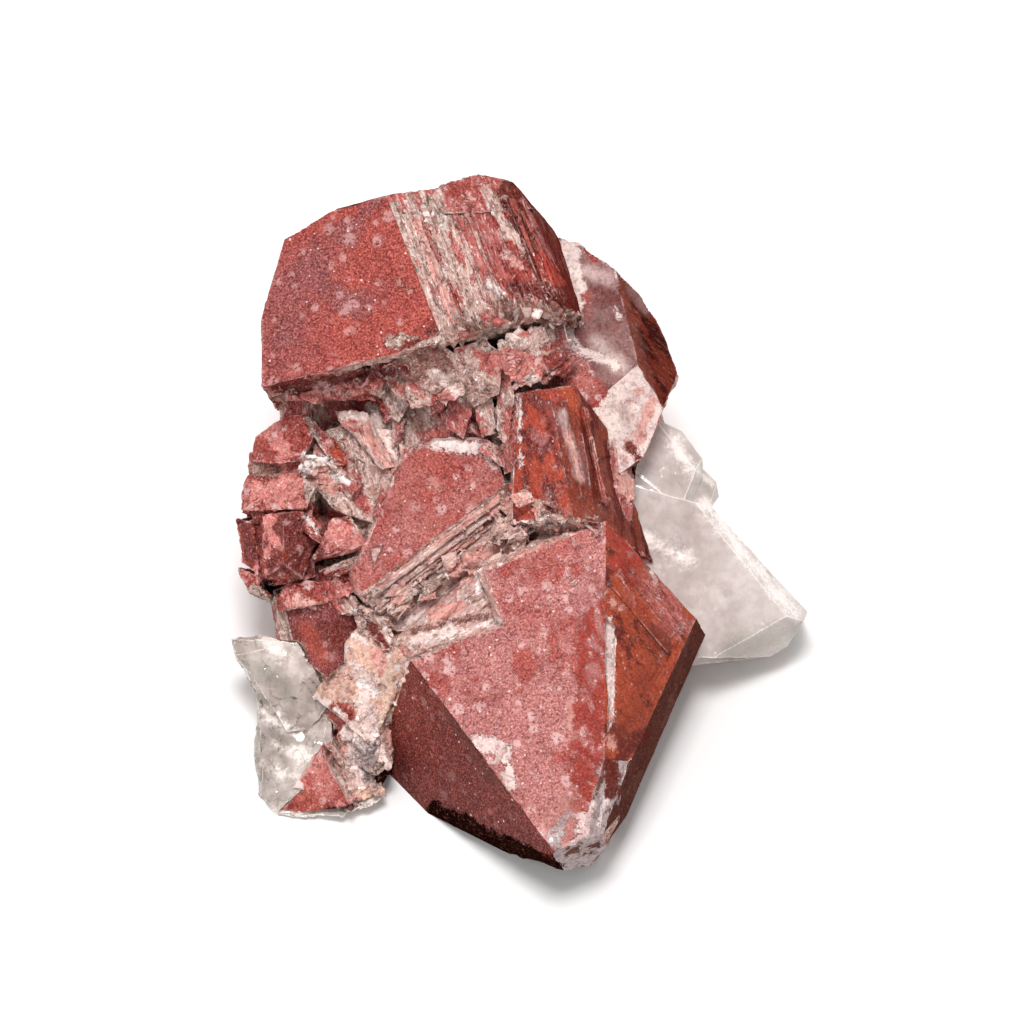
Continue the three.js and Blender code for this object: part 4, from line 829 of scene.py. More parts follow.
def keep_on(mesh: Mesh, name: str, kind: str, domain: str, values: Array) -> None:
    """Keeps values on a mesh under a name, for its material or its node tree."""
    kept = mesh.attributes.new(name, kind, domain)
    kept.data.foreach_set(VALUE_NAMES[kind], values.astype(np.float32).ravel())


@contextmanager
def edited(mesh: Mesh) -> Iterator[bmesh.types.BMesh]:
    """Opens a mesh for editing, and writes it back when the edits are done."""
    work = bmesh.new()
    work.from_mesh(mesh)
    yield work
    work.to_mesh(mesh)
    work.free()


def unit(vectors: Array) -> Array:
    """Rows of a table made one long."""
    return vectors / np.maximum(np.linalg.norm(vectors, axis=1, keepdims=True), 1e-12)


@dataclass
class Shell:
    """A closed triangle mesh in display-frame millimetres.

    Args:
        points: One row for each vertex.
        faces: Three vertex numbers for each triangle.
        zones: Index of each triangle's zone.
    """

    points: Array
    faces: Array
    zones: Array

    @classmethod
    def of_mesh(cls, mesh: Mesh) -> "Shell":
        """Reads a triangle mesh whose coordinates are display-frame millimetres."""
        faces = np.zeros(len(mesh.polygons) * 3, dtype=np.int64)
        mesh.polygons.foreach_get("vertices", faces)
        return cls(coordinates(mesh), faces.reshape(-1, 3), np.zeros(len(mesh.polygons), int))

    def face_normals(self) -> Array:
        """Unit normal of each triangle."""
        return unit(self.raw_normals())

    def raw_normals(self) -> Array:
        """Normal of each triangle, as long as twice its area."""
        first, second, third = (self.points[self.faces[:, k]] for k in range(3))
        return np.cross(second - first, third - first)

    def centres(self) -> Array:
        """Middle of each triangle."""
        return self.points[self.faces].mean(axis=1)

    def least(self, face_values: Array) -> Array:
        """Smallest value among the triangles round each vertex."""
        lowest = np.full(len(self.points), np.inf)
        for k in range(3):
            np.minimum.at(lowest, self.faces[:, k], face_values)
        return lowest

    def vertex_normals(self) -> Array:
        """Unit normal at each vertex, weighted by area."""
        raw = self.raw_normals()
        total = np.zeros_like(self.points)
        for k in range(3):
            np.add.at(total, self.faces[:, k], raw)
        return unit(total)

    def _sides(self) -> tuple[Array, Array, Array]:
        """Both ends of every triangle's sides, the lower vertex first, and one number for each pair of ends."""
        pairs = np.stack([self.faces, np.roll(self.faces, -1, axis=1)], axis=2).reshape(-1, 2)
        low, high = pairs.min(axis=1), pairs.max(axis=1)
        return low, high, low * len(self.points) + high

    def folds(self, angle: float) -> tuple[Array, Array]:
        """Finds the vertices on sharp edges.

        Args:
            angle: Smallest turn between two triangles that counts, in radians.

        Returns:
            For each vertex, 1 on an outer edge, and 1 in a crease.
        """
        low, high, keys = self._sides()
        order = np.argsort(keys, kind="stable")
        first, second = order[0::2], order[1::2]
        normals, centres = self.face_normals(), self.centres()
        one, other = first // 3, second // 3
        turned = (normals[one] * normals[other]).sum(axis=1) < math.cos(angle)
        outward = ((centres[other] - centres[one]) * normals[one]).sum(axis=1) < 0
        marks = []
        for chosen in (turned & outward, turned & ~outward):
            mark = np.zeros(len(self.points))
            mark[low[first[chosen]]] = mark[high[first[chosen]]] = 1.0
            marks.append(mark)
        return marks[0], marks[1]

    def refined(self, longest: Callable[["Shell"], Array], passes: int) -> "Shell":
        """Splits edges until none is longer than asked.

        Args:
            longest: Gives the longest allowed edge for each triangle.
            passes: Most rounds of splitting.

        Returns:
            The finer shell, closed as this one is.
        """
        shell = self
        for _ in range(passes):
            finer = shell._split_once(longest(shell))
            if finer is None:
                break
            shell = finer
        return shell

    def _split_once(self, allowed: Array) -> "Shell | None":
        """Splits the longest edge of each triangle that has one over its limit, and its neighbours to match.

        Args:
            allowed: Longest allowed edge of each triangle.

        Returns:
            The finer shell, or None if no edge is too long.
        """
        faces, count = self.faces, len(self.faces)
        keys, edge_of = np.unique(self._sides()[2], return_inverse=True)
        edge_of = edge_of.reshape(count, 3)
        ends = np.stack([keys // len(self.points), keys % len(self.points)], axis=1)
        lengths = np.linalg.norm(self.points[ends[:, 0]] - self.points[ends[:, 1]], axis=1)
        own = lengths[edge_of]
        worst = own.argmax(axis=1)
        rows = np.arange(count)
        too_long = own[rows, worst] > allowed
        split = np.zeros(len(keys), bool)
        split[edge_of[rows[too_long], worst[too_long]]] = True
        if not split.any():
            return None
        number = np.full(len(keys), -1)
        number[split] = len(self.points) + np.arange(int(split.sum()))
        middles = self.points[ends[split]].mean(axis=1)
        marks = split[edge_of]
        middle_of = number[edge_of]
        new_faces, new_zones = [], []
        for pattern in np.ndindex(2, 2, 2):
            chosen = (marks == np.array(pattern, bool)).all(axis=1)
            if not chosen.any():
                continue
            corner = faces[chosen]
            middle = middle_of[chosen]
            for triangle in self._split_pattern(pattern, corner, middle):
                new_faces.append(triangle)
                new_zones.append(self.zones[chosen])
        return Shell(np.vstack([self.points, middles]), np.vstack(new_faces), np.concatenate(new_zones))

    @staticmethod
    def _split_pattern(pattern: tuple[int, ...], corner: Array, middle: Array) -> list[Array]:
        """The triangles that replace some others whose edges are all split in the same way.

        Args:
            pattern: 1 for each edge that is split.
            corner: Their vertices.
            middle: The new vertices on their edges.

        Returns:
            The new triangles, one table for each that an old one falls into.
        """
        a, b, c = corner.T
        ab, bc, ca = middle.T
        table: dict[tuple[int, ...], list[tuple[Array, ...]]] = {
            (0, 0, 0): [(a, b, c)],
            (1, 0, 0): [(a, ab, c), (ab, b, c)],
            (0, 1, 0): [(a, b, bc), (a, bc, c)],
            (0, 0, 1): [(a, b, ca), (ca, b, c)],
            (1, 1, 0): [(ab, b, bc), (a, ab, bc), (a, bc, c)],
            (0, 1, 1): [(bc, c, ca), (a, b, bc), (a, bc, ca)],
            (1, 0, 1): [(a, ab, ca), (ab, b, c), (ab, c, ca)],
            (1, 1, 1): [(a, ab, ca), (ab, b, bc), (ca, bc, c), (ab, bc, ca)],
        }
        return [np.stack(triangle, axis=1) for triangle in table[pattern]]


def new_object(name: str, mesh: Mesh) -> Object:
    """Links a mesh to the scene under a name."""
    mesh.name = name
    made = bpy.data.objects.new(name, mesh)
    bpy.context.scene.collection.objects.link(made)
    return made


def mesh_of(points: Array, faces: Array, name: str) -> Mesh:
    """A Blender mesh of vertices and triangles, in the units given."""
    mesh = bpy.data.meshes.new(name)
    mesh.vertices.add(len(points))
    mesh.vertices.foreach_set("co", points.astype(np.float32).ravel())
    mesh.loops.add(len(faces) * 3)
    mesh.loops.foreach_set("vertex_index", faces.astype(np.int32).ravel())
    mesh.polygons.add(len(faces))
    mesh.polygons.foreach_set("loop_start", np.arange(0, len(faces) * 3, 3, dtype=np.int32))
    mesh.update(calc_edges=True)
    return mesh


def combined(base: Mesh, others: Sequence[Mesh], operation: str) -> Mesh:
    """Joins closed meshes to a closed mesh, or cuts them out of it.

    Args:
        base: The mesh that is worked on.
        others: The meshes that are joined or cut out.
        operation: UNION or DIFFERENCE.

    Returns:
        A new mesh.
    """
    holder = new_object("work", base)
    helpers = []
    for number, other in enumerate(others):
        helper = new_object(f"tool_{number}", other)
        modifier = holder.modifiers.new(f"cut_{number}", "BOOLEAN")
        modifier.operation = operation
        modifier.solver = "MANIFOLD"
        modifier.object = helper
        helpers.append(helper)
    graph = bpy.context.evaluated_depsgraph_get()
    result = bpy.data.meshes.new_from_object(holder.evaluated_get(graph))
    for item in (holder, *helpers):
        bpy.data.objects.remove(item)
    return result


def tidy_triangles(mesh: Mesh) -> None:
    """Joins triangles that lie in one plane and cuts the plane into well-shaped ones."""
    with edited(mesh) as work:
        bmesh.ops.dissolve_limit(
            work, angle_limit=FLAT_ANGLE, use_dissolve_boundaries=False, verts=work.verts, edges=work.edges
        )
        bmesh.ops.triangulate(work, faces=work.faces, quad_method="BEAUTY", ngon_method="BEAUTY")


def cut_in_plane(work: bmesh.types.BMesh, place: Sequence[float], normal: Sequence[float], **sides: Any) -> None:
    """Cuts an open mesh in a plane, drops a side of it and closes the cut with triangles.

    Args:
        work: The mesh.
        place: A point of the plane.
        normal: The plane's direction.
        sides: Which side is cleared, as bisect_plane names them, and how near the plane a vertex counts as in it.
    """
    cut = bmesh.ops.bisect_plane(
        work, geom=[*work.verts, *work.edges, *work.faces], plane_co=place, plane_no=normal, **sides
    )
    rim = [item for item in cut["geom_cut"] if isinstance(item, bmesh.types.BMEdge)]
    if rim:
        bmesh.ops.holes_fill(work, edges=rim)
    bmesh.ops.triangulate(work, faces=[face for face in work.faces if len(face.verts) > 3])


def cut_at_base(mesh: Mesh) -> None:
    """Cuts a closed mesh in display-frame millimetres off flat where the cluster's base is."""
    down = np.array([0.0, 0.0, -1.0]) @ DISPLAY_AXES
    foot = to_display(np.array([[0.0, 0.0, 0.0]]))[0]
    with edited(mesh) as work:
        cut_in_plane(work, foot, down, clear_outer=True)
        bmesh.ops.recalc_face_normals(work, faces=work.faces)


SOCKET_SLACK = 0.12  # how near a crystal's faces a triangle counts as its socket's wall, in millimetres
HULL_SPREAD = 1.6  # how much further a hull's corners move out than its faces
MEET_SLACK = 1e-6
MEET_REACH = 90.0  # furthest that a crystal's corner may lie from its heart, in millimetres


@dataclass(frozen=True)
class ConvexCrystal:
    """A convex crystal, either the hull of its corners or what its face planes enclose.

    Args:
        corners: Points of the hull.
        heart: A point inside, for a crystal given by faces.
        faces: Three points on each face.
    """

    corners: tuple[Point, ...] = ()
    heart: Point = (0.0, 0.0, 0.0)
    faces: tuple[tuple[Point, Point, Point], ...] = ()

    def mesh(self, grow: float = 0.0) -> Mesh:
        """The crystal as a closed mesh.

        Args:
            grow: How far every face is moved outwards, in millimetres.

        Returns:
            The mesh, in display-frame millimetres.
        """
        points = np.array(self.corners) if self.corners else self._meeting_points(grow)
        if self.corners and grow:
            apart = points - points.mean(axis=0)
            points = points + apart * (grow / np.linalg.norm(apart, axis=1, keepdims=True).mean() * HULL_SPREAD)
        mesh = bpy.data.meshes.new("crystal")
        with edited(mesh) as work:
            for point in points:
                work.verts.new(point)
            bmesh.ops.convex_hull(work, input=work.verts)
            loose = [vert for vert in work.verts if not vert.link_faces]
            bmesh.ops.delete(work, geom=loose, context="VERTS")
            bmesh.ops.triangulate(work, faces=work.faces)
            bmesh.ops.recalc_face_normals(work, faces=work.faces)
        return mesh

    def reaches(self, places: Array) -> Array:
        """Tells which places lie in the crystal or on its faces."""
        shell = Shell.of_mesh(self.mesh())
        normals = shell.face_normals()
        depths = (normals * shell.points[shell.faces[:, 0]]).sum(axis=1)
        return (places @ normals.T - depths).max(axis=1) < SOCKET_SLACK

    def _meeting_points(self, grow: float) -> Array:
        """The corners at which three of the face planes meet.

        Args:
            grow: How far every face is moved outwards, in millimetres.

        Returns:
            One row for each corner that lies behind no other face.
        """
        heart = np.array(self.heart)
        normals, depths = [], []
        for first, second, third in self.faces:
            start = np.array(first)
            normal = np.cross(np.array(second) - start, np.array(third) - start)
            normal = normal / np.linalg.norm(normal)
            if (start - heart) @ normal < 0:
                normal = -normal
            normals.append(normal)
            depths.append(start @ normal + grow)
        planes, depth = np.array(normals), np.array(depths)
        found = []
        for trio in combinations(range(len(planes)), 3):
            rows = planes[list(trio)]
            if abs(np.linalg.det(rows)) < MEET_SLACK:
                continue
            meet = np.linalg.solve(rows, depth[list(trio)])
            if (planes @ meet <= depth + MEET_SLACK).all() and np.linalg.norm(meet - heart) < MEET_REACH:
                found.append(meet)
        return np.array(found)


# ---------------- shader maths


class Sock:
    """A shader socket or number that Python operators turn into Math nodes."""

    def __init__(self, tree: NodeTree, value: Any) -> None:
        """Keeps the node tree and the socket or number."""
        self.tree = tree
        self.value = value

    def _math(self, operation: str, *others: Any) -> "Sock":
        """A Math node on this value and others."""
        node = self.tree.nodes.new("ShaderNodeMath")
        node.operation = operation
        for place, item in enumerate((self, *others)):
            put(self.tree, node.inputs[place], item)
        return Sock(self.tree, node.outputs[0])

    def __add__(self, other: Any) -> "Sock":
        """This plus other."""
        return self._math("ADD", other)

    def __sub__(self, other: Any) -> "Sock":
        """This minus other."""
        return self._math("SUBTRACT", other)

    def __rsub__(self, other: Any) -> "Sock":
        """Other minus this."""
        return Sock(self.tree, other)._math("SUBTRACT", self)

    def __mul__(self, other: Any) -> "Sock":
        """This times other."""
        return self._math("MULTIPLY", other)

    __radd__ = __add__
    __rmul__ = __mul__

    def above(self, low: float, high: float) -> "Sock":
        """0 below low and 1 above high, smooth between; the other way round if low is the larger."""
        node = self.tree.nodes.new("ShaderNodeMapRange")
        node.interpolation_type = "SMOOTHSTEP"
        ends = (low, high, 0.0, 1.0) if low < high else (high, low, 1.0, 0.0)
        put(self.tree, node.inputs["Value"], self)
        for name, number in zip(("From Min", "From Max", "To Min", "To Max"), ends):
            node.inputs[name].default_value = number
        return Sock(self.tree, node.outputs["Result"])

    def absolute(self) -> "Sock":
        """Its size without its sign."""
        return self._math("ABSOLUTE")

    def clamped(self) -> "Sock":
        """Held between 0 and 1."""
        node = self.tree.nodes.new("ShaderNodeClamp")
        put(self.tree, node.inputs["Value"], self)
        return Sock(self.tree, node.outputs[0])


def put(tree: NodeTree, target: NodeSocket, item: Any) -> None:
    """Links a socket, or sets a number or colour, on a node's input."""
    value = item.value if isinstance(item, Sock) else item
    if isinstance(value, NodeSocket):
        tree.links.new(value, target)
        return
    if isinstance(value, (tuple, list)) and len(value) == 3 and len(target.default_value) == 4:
        value = (*value, 1.0)
    target.default_value = value


class Bench:
    """Makes nodes in one tree."""

    def __init__(self, tree: NodeTree) -> None:
        """Keeps the tree."""
        self.tree = tree

    def node(self, kind: str, settings: dict[str, Any] | None = None, **values: Any) -> Node:
        """Makes a node.

        Args:
            kind: Node type.
            settings: Attributes set before the sockets.
            values: Socket names, with underscores for spaces, and their values or links.

        Returns:
            The node.
        """
        made = self.tree.nodes.new(kind)
        for key, value in (settings or {}).items():
            setattr(made, key, value)
        for key, value in values.items():
            name = key.replace("_", " ")
            put(self.tree, next(item for item in made.inputs if item.name == name and item.enabled), value)
        return made

    def sock(self, kind: str, output: str | int, settings: dict[str, Any] | None = None, **values: Any) -> Sock:
        """One output of a new node."""
        return Sock(self.tree, self.node(kind, settings, **values).outputs[output])

    def step(self, kind: str, settings: dict[str, Any], inputs: dict[int, Any], output: str | int = 0) -> Sock:
        """One output of a new node whose inputs are told by their places.

        Args:
            kind: Node type.
            settings: Its attributes.
            inputs: Values or links by the inputs' places.
            output: Name or place of the output.

        Returns:
            The output.
        """
        made = self.node(kind, settings)
        for place, value in inputs.items():
            put(self.tree, made.inputs[place], value)
        return Sock(self.tree, made.outputs[output])

    def vector(self, operation: str, first: Any, second: Any, output: str = "Vector") -> Sock:
        """A Vector Math node on two vectors."""
        return self.step("ShaderNodeVectorMath", {"operation": operation}, {0: first, 1: second}, output)

    def scaled(self, vector: Any, factor: Any) -> Sock:
        """A vector or colour times a number."""
        return self.step("ShaderNodeVectorMath", {"operation": "SCALE"}, {0: vector, 3: factor})


class GeometryBench(Bench):
    """Makes one node tree that builds geometry."""

    KINDS = {float: "NodeSocketFloat", int: "NodeSocketInt"}

    def __init__(self, name: str, **inputs: float) -> None:
        """Starts a tree whose inputs have the given names and values."""
        super().__init__(bpy.data.node_groups.new(name, "GeometryNodeTree"))
        face = self.tree.interface
        face.new_socket("Geometry", in_out="INPUT", socket_type="NodeSocketGeometry")
        for key, value in inputs.items():
            face.new_socket(key, in_out="INPUT", socket_type=self.KINDS[type(value)]).default_value = value
        face.new_socket("Geometry", in_out="OUTPUT", socket_type="NodeSocketGeometry")
        self.start = self.node("NodeGroupInput")

    def given(self, name: str) -> Sock:
        """One input of the tree."""
        return Sock(self.tree, self.start.outputs[name])

    def named(self, name: str) -> Sock:
        """A number kept on the geometry."""
        return self.sock("GeometryNodeInputNamedAttribute", "Attribute", {"data_type": "FLOAT"}, Name=name)

    def chance(self, kind: str, low: Any, high: Any, seed: Any) -> Sock:
        """A random number, or a vector of them, between two limits."""
        made = self.node("FunctionNodeRandomValue", {"data_type": kind}, Min=low, Max=high, Seed=seed)
        return Sock(self.tree, next(item for item in made.outputs if item.enabled))


SPOT_TURN = (0.3, 0.5, 0.1)
SPOT_WEAR = 2.4  # how strongly noise wears a spot's rim, in the spot's radii
MIDDLE = (0.5, 0.5, 0.5)


class ShaderBench(Bench):
    """Makes one material's nodes."""

    def __init__(self, name: str) -> None:
        """Starts an empty material."""
        self.material = bpy.data.materials.new(name)
        self.material.use_nodes = True
        super().__init__(self.material.node_tree)
        self.tree.nodes.clear()

    def place(self, size_mm: float, turn: Point = (0.0, 0.0, 0.0)) -> Sock:
        """Object coordinates counted in steps of a size, and turned."""
        coordinates = self.node("ShaderNodeTexCoord").outputs["Object"]
        steps = (1.0 / (size_mm * MM),) * 3
        return self.sock("ShaderNodeMapping", "Vector", Vector=coordinates, Rotation=turn, Scale=steps)

    def noise(self, size_mm: float, detail: float, rough: float, turn: Point = (0.0, 0.0, 0.0)) -> Sock:
        """Smooth noise from 0 to 1."""
        return self._noise_at(self.place(size_mm, turn), detail, rough)

    def flow_noise(self, size_mm: float, detail: float, rough: float) -> Sock:
        """Smooth noise in the ribs' own coordinates, which are kept on the mesh in millimetres."""
        place = self.vector("DIVIDE", self.attribute("flow", "Vector"), (size_mm,) * 3)
        return self._noise_at(place, detail, rough)

    def _noise_at(self, place: Sock, detail: float, rough: float) -> Sock:
        """Smooth noise on places that are counted in steps."""
        return self.sock("ShaderNodeTexNoise", "Fac", Vector=place, Scale=1.0, Detail=detail, Roughness=rough)

    def _cells(self, place: Sock) -> tuple[Sock, Sock, Sock]:
        """The nearest cell of a scattered pattern: distance to its middle, its middle, and its random colour."""
        cells = self.node("ShaderNodeTexVoronoi", {"feature": "F1"}, Vector=place, Scale=1.0)
        return tuple(Sock(self.tree, cells.outputs[name]) for name in ("Distance", "Position", "Color"))

    def spots(self, size_mm: float, radius: float, share: float, ragged: Sock) -> Sock:
        """Round spots with ragged rims.

        Args:
            size_mm: Mean distance between the places where a spot may lie.
            radius: Radius of a spot, as a share of that distance.
            share: Share of the places that have one.
            ragged: Noise that wears the rims.

        Returns:
            1 on the spots and 0 off them.
        """
        distance, _, colour = self._cells(self.place(size_mm, SPOT_TURN))
        away = distance + (ragged - 0.5) * (SPOT_WEAR * radius)
        chance = self.parts(colour)[0]
        return away.above(1.15 * radius, 0.85 * radius) * chance.above(share + 0.02, share)

    def facets(self, size_mm: float) -> tuple[Sock, Sock]:
        """Small flat facets, each tilted its own way: their height, and one random number for each."""
        place = self.place(size_mm)
        _, middle, colour = self._cells(place)
        offset = self.vector("SUBTRACT", place, middle)
        slope = self.vector("SUBTRACT", colour, MIDDLE)
        return self.vector("DOT_PRODUCT", offset, slope, "Value"), self.parts(colour)[1]

    def attribute(self, name: str, output: str) -> Sock:
        """A value kept on the mesh."""
        return self.sock("ShaderNodeAttribute", output, {"attribute_name": name})

    def parts(self, colour: Sock) -> tuple[Sock, Sock, Sock]:
        """The red, green and blue of a colour."""
        outputs = self.node("ShaderNodeSeparateColor", Color=colour).outputs
        return tuple(Sock(self.tree, outputs[k]) for k in range(3))

    def mix(self, share: Any, first: Any, second: Any, blend: str = "MIX") -> Sock:
        """Mixes two colours by a share."""
        settings = {"data_type": "RGBA", "blend_type": blend}
        return self.step("ShaderNodeMix", settings, {0: share, 6: first, 7: second}, 2)

    def bump(self, height: Sock, depth_mm: float) -> Sock:
        """A bumped normal from a height of 0 to 1 that stands for a depth in millimetres."""
        return self.sock("ShaderNodeBump", "Normal", Height=height, Distance=depth_mm * MM, Strength=1.0)

    def skin(self, **values: Any) -> Sock:
        """A Principled surface."""
        return self.sock("ShaderNodeBsdfPrincipled", "BSDF", **values)

    def blend(self, share: Sock, first: Sock, second: Sock) -> Sock:
        """Mixes two surfaces by a share."""
        return self.step("ShaderNodeMixShader", {}, {0: share, 1: first, 2: second})

    def finish(self, surface: Sock, **volume: Sock) -> Material:
        """Links the surface, and a volume if there is one, to the output."""
        self.node("ShaderNodeOutputMaterial", Surface=surface, **volume)
        return self.material


# ---------------- finishes

FLECK = srgb(214, 170, 167)
SPECK = srgb(240, 214, 208)
PIT = srgb(66, 32, 32)
DARK_GRAIN = (0.5, 0.36, 0.36)
LIGHT_GRAIN = srgb(150, 92, 80)
DUSK = (0.66, 0.6, 0.64)
SOOT = srgb(52, 38, 34)
FROST = srgb(246, 236, 230)


@dataclass(frozen=True)
class StainedStone:
    """Iron-stained quartz: a ground under ragged stains, with grains, flecks, cracks and a glassy coat.

    Args:
        name: Name of the material.
        grain_mm: Size of the grains.
        fleck_mm: Distances between the round pale flecks, large and small.
        speck_mm: Distance between the small specks.
        pit_mm: Distance between the small dark pits.
        facet_mm: Size of the small facets that catch the light.
        bump_mm: Depth of the fine relief.
        coat_rough: Roughness of the glassy coat.
        shine: Strength of the mirror light under the coat.
        steep: How far a surface is turned away where its shine begins to fade, and where it is gone.
    """

    name: str = "stained_quartz"
    grain_mm: float = 0.4
    fleck_mm: tuple[float, float] = (2.1, 1.3)
    speck_mm: float = 0.8
    pit_mm: float = 1.04
    facet_mm: float = 0.45
    bump_mm: float = 0.2
    coat_rough: float = 0.12
    shine: float = 0.12
    steep: tuple[float, float] = (0.45, 0.8)

    def build(self) -> Material:
        """Makes the material."""
        bench = ShaderBench(self.name)
        ragged = bench.noise(0.9, 4.0, 0.65)
        fine = bench.noise(0.2, 3.0, 0.6)
        grain = bench.noise(self.grain_mm, 3.0, 0.62)
        crumb = bench.noise(self.grain_mm * 0.5, 2.0, 0.6, (0.7, 0.4, 0.2))
        streak = bench.flow_noise(0.62, 4.0, 0.62)
        thread = bench.flow_noise(0.3, 3.0, 0.65)
        broad = bench.noise(2.6, 3.0, 0.6)
        clump = bench.noise(1.3, 2.0, 0.6, (0.2, 0.9, 0.5)).above(0.46, 0.6)

        # the ground, its stains and how dusty, glassy, crushed and flecked they are
        amount = bench.attribute("stain", "Alpha") + (ragged - 0.5) * 1.1 + (fine - 0.5) * 0.9
        stained = amount.above(0.42, 0.6)
        tone = bench.mix(stained, bench.attribute("ground", "Color"), bench.attribute("stain", "Color"))
        look = bench.mix(stained, bench.attribute("ground_look", "Color"), bench.attribute("stain_look", "Color"))
        dust, gloss, crushed = bench.parts(look)
        ground_flecks = bench.attribute("ground_look", "Alpha")
        flecks = ground_flecks + (bench.attribute("stain_look", "Alpha") - ground_flecks) * stained
        clean = 1 - dust

        # grains, lighter and darker than the ground, and streaks along the ribs
        colour = bench.mix(broad.above(0.58, 0.4) * 0.5, tone, DUSK, "MULTIPLY")
        colour = bench.mix(grain.above(0.475, 0.41) * (0.2 + dust * 0.45), colour, DARK_GRAIN, "MULTIPLY")
        light = bench.mix(0.4, tone, LIGHT_GRAIN)
        colour = bench.mix(crumb.above(0.53, 0.59) * (0.12 + dust * 0.8), colour, light, "SCREEN")
        colour = bench.mix(fine.above(0.55, 0.62) * dust * 0.8, colour, light, "SCREEN")
        colour = bench.mix(fine.above(0.44, 0.38) * dust * 0.5, colour, DARK_GRAIN, "MULTIPLY")
        colour = bench.mix(streak.above(0.47, 0.38) * clean * 0.55, colour, DARK_GRAIN, "MULTIPLY")
        colour = bench.mix(thread.above(0.56, 0.66) * clean * 0.4, colour, LIGHT_GRAIN, "SCREEN")

        # pale flecks, specks and dark pits
        large, small = (bench.spots(apart, 0.3, 0.3, fine) for apart in self.fleck_mm)
        colour = bench.mix((large + small).clamped() * flecks * grain.above(0.36, 0.5) * 0.9, colour, FLECK)
        colour = bench.mix(bench.spots(self.speck_mm, 0.13, 0.34, ragged) * dust * 0.75, colour, SPECK)
        colour = bench.mix(bench.spots(self.pit_mm, 0.12, 0.3, fine) * dust * 0.7, colour, PIT)

        # white and black in crushed stone, with fine white cracks
        vein = (streak - 0.5).absolute().above(0.03, 0.012) * clean
        frost = vein * 0.6 + thread.above(0.57, 0.64) * clump
        colour = bench.mix((frost * crushed).clamped() * 0.8, colour, FROST)
        colour = bench.mix(thread.above(0.425, 0.38) * (1 - clump) * crushed * 0.75, colour, SOOT)
        colour = bench.scaled(colour, bench.attribute("shade", "Fac"))

        # the relief, the coat and the glints
        tilt, chance = bench.facets(self.facet_mm)
        glint = chance.above(0.84, 0.88) * (0.25 + gloss * 0.75)
        rough = 0.66 - gloss * 0.4 - glint * 0.3 - crushed * 0.1 + (grain - 0.5) * 0.3
        relief = grain * 0.5 + fine * 0.16 + streak * clean * 0.5 + tilt * (0.3 + crushed * 0.6) + stained * 0.12
        normal = bench.bump(relief, self.bump_mm)
        glossy = bench.skin(
            Base_Color=colour, Roughness=rough.clamped(), Normal=normal, Coat_Roughness=self.coat_rough,
            Coat_Weight=(gloss * 0.22 + glint * 0.35).clamped(), IOR=1.5, Specular_IOR_Level=self.shine,
        )
        dull = bench.skin(Base_Color=colour, Roughness=1.0, Normal=normal, IOR=1.0, Specular_IOR_Level=0.0)
        turned = bench.sock("ShaderNodeLayerWeight", "Facing", Blend=0.5).above(*self.steep)
        without_gloss = (1 - gloss * 25).clamped()
        return bench.finish(bench.blend((turned + without_gloss).clamped(), glossy, dull))


@dataclass(frozen=True)
class ClearQuartz:
    """Clear to milky quartz: see-through, with milky veils, frost, and painted highlights on its edges and in some
    places.

    Args:
        name: Name of the material.
        tone: Colour of the milky veils.
        shade: Colour of the thin places between them.
        milk: Share of the light that the veils take up, 0 to 1.
        uneven: How much the veils vary from place to place, 0 to 1.
        density: Strength of the absorption, per metre.
        tint: Colour that is left after absorption.
        frost: Colour of the places with frost, and of the painted highlights on edges and in the highlight places.
        dusk: Colour of the dusky places.
        glass: Colour of clear quartz.
        glass_rough: Its roughness.
        bends: Its index of refraction.
        facet_mm: Size of the facets on it.
        bump_mm: Depth of its fine relief.
    """

    name: str
    tone: Colour
    shade: Colour
    milk: float
    uneven: float
    density: float = 22.0
    tint: Colour = (0.86, 0.84, 0.8)
    frost: Colour = srgb(250, 242, 236)
    dusk: Colour = srgb(168, 160, 146)
    glass: Colour = (0.98, 0.97, 0.96)
    glass_rough: float = 0.04
    bends: float = 1.54
    facet_mm: float = 1.8
    bump_mm: float = 0.12

    def build(self) -> Material:
        """Makes the material."""
        bench = ShaderBench(self.name)
        veil = bench.noise(7.0, 2.0, 0.5)
        wisps = bench.noise(1.5, 4.0, 0.62)
        grains = bench.noise(0.32, 3.0, 0.65)
        rim = bench.attribute("rim", "Fac").above(0.4, 1.0)
        ragged = (wisps - 0.5) * 0.9 + (grains - 0.5) * 0.9
        frost_and_highlight = (bench.attribute("frost_and_highlight", "Fac") + ragged).above(0.3, 1.1)
        dusky = (bench.attribute("dusky", "Fac") + ragged).above(0.2, 1.2)
        # Painted highlight: the outer edges and the highlight places among those with frost are mixed towards white.
        white = (rim * 0.4 + frost_and_highlight * 0.7).clamped()
        colour = bench.mix(wisps.above(0.38, 0.66) * 0.6 + veil.above(0.4, 0.6) * 0.4, self.shade, self.tone)
        colour = bench.mix(dusky * 0.85, colour, self.dusk)
        colour = bench.mix(white * (0.55 + grains * 0.6), colour, self.frost)
        tilt, _ = bench.facets(self.facet_mm)
        normal = bench.bump(wisps * 0.2 + tilt * 0.35 + grains * frost_and_highlight * 0.5, self.bump_mm)
        clear = bench.skin(
            Base_Color=self.glass, Roughness=self.glass_rough, IOR=self.bends, Transmission_Weight=1.0,
            Normal=normal,
        )
        milky = bench.skin(
            Base_Color=colour, Roughness=(white * 0.3 + 0.16).clamped(), IOR=self.bends, Coat_Weight=0.7,
            Coat_Roughness=0.06, Normal=normal,
        )
        share = self.milk + (veil - 0.5) * (3.0 * self.uneven) + (wisps - 0.5) * (1.6 * self.uneven) + white
        inside = bench.sock("ShaderNodeVolumeAbsorption", "Volume", Color=self.tint, Density=self.density)
        return bench.finish(bench.blend(share.clamped(), clear, milky), Volume=inside)


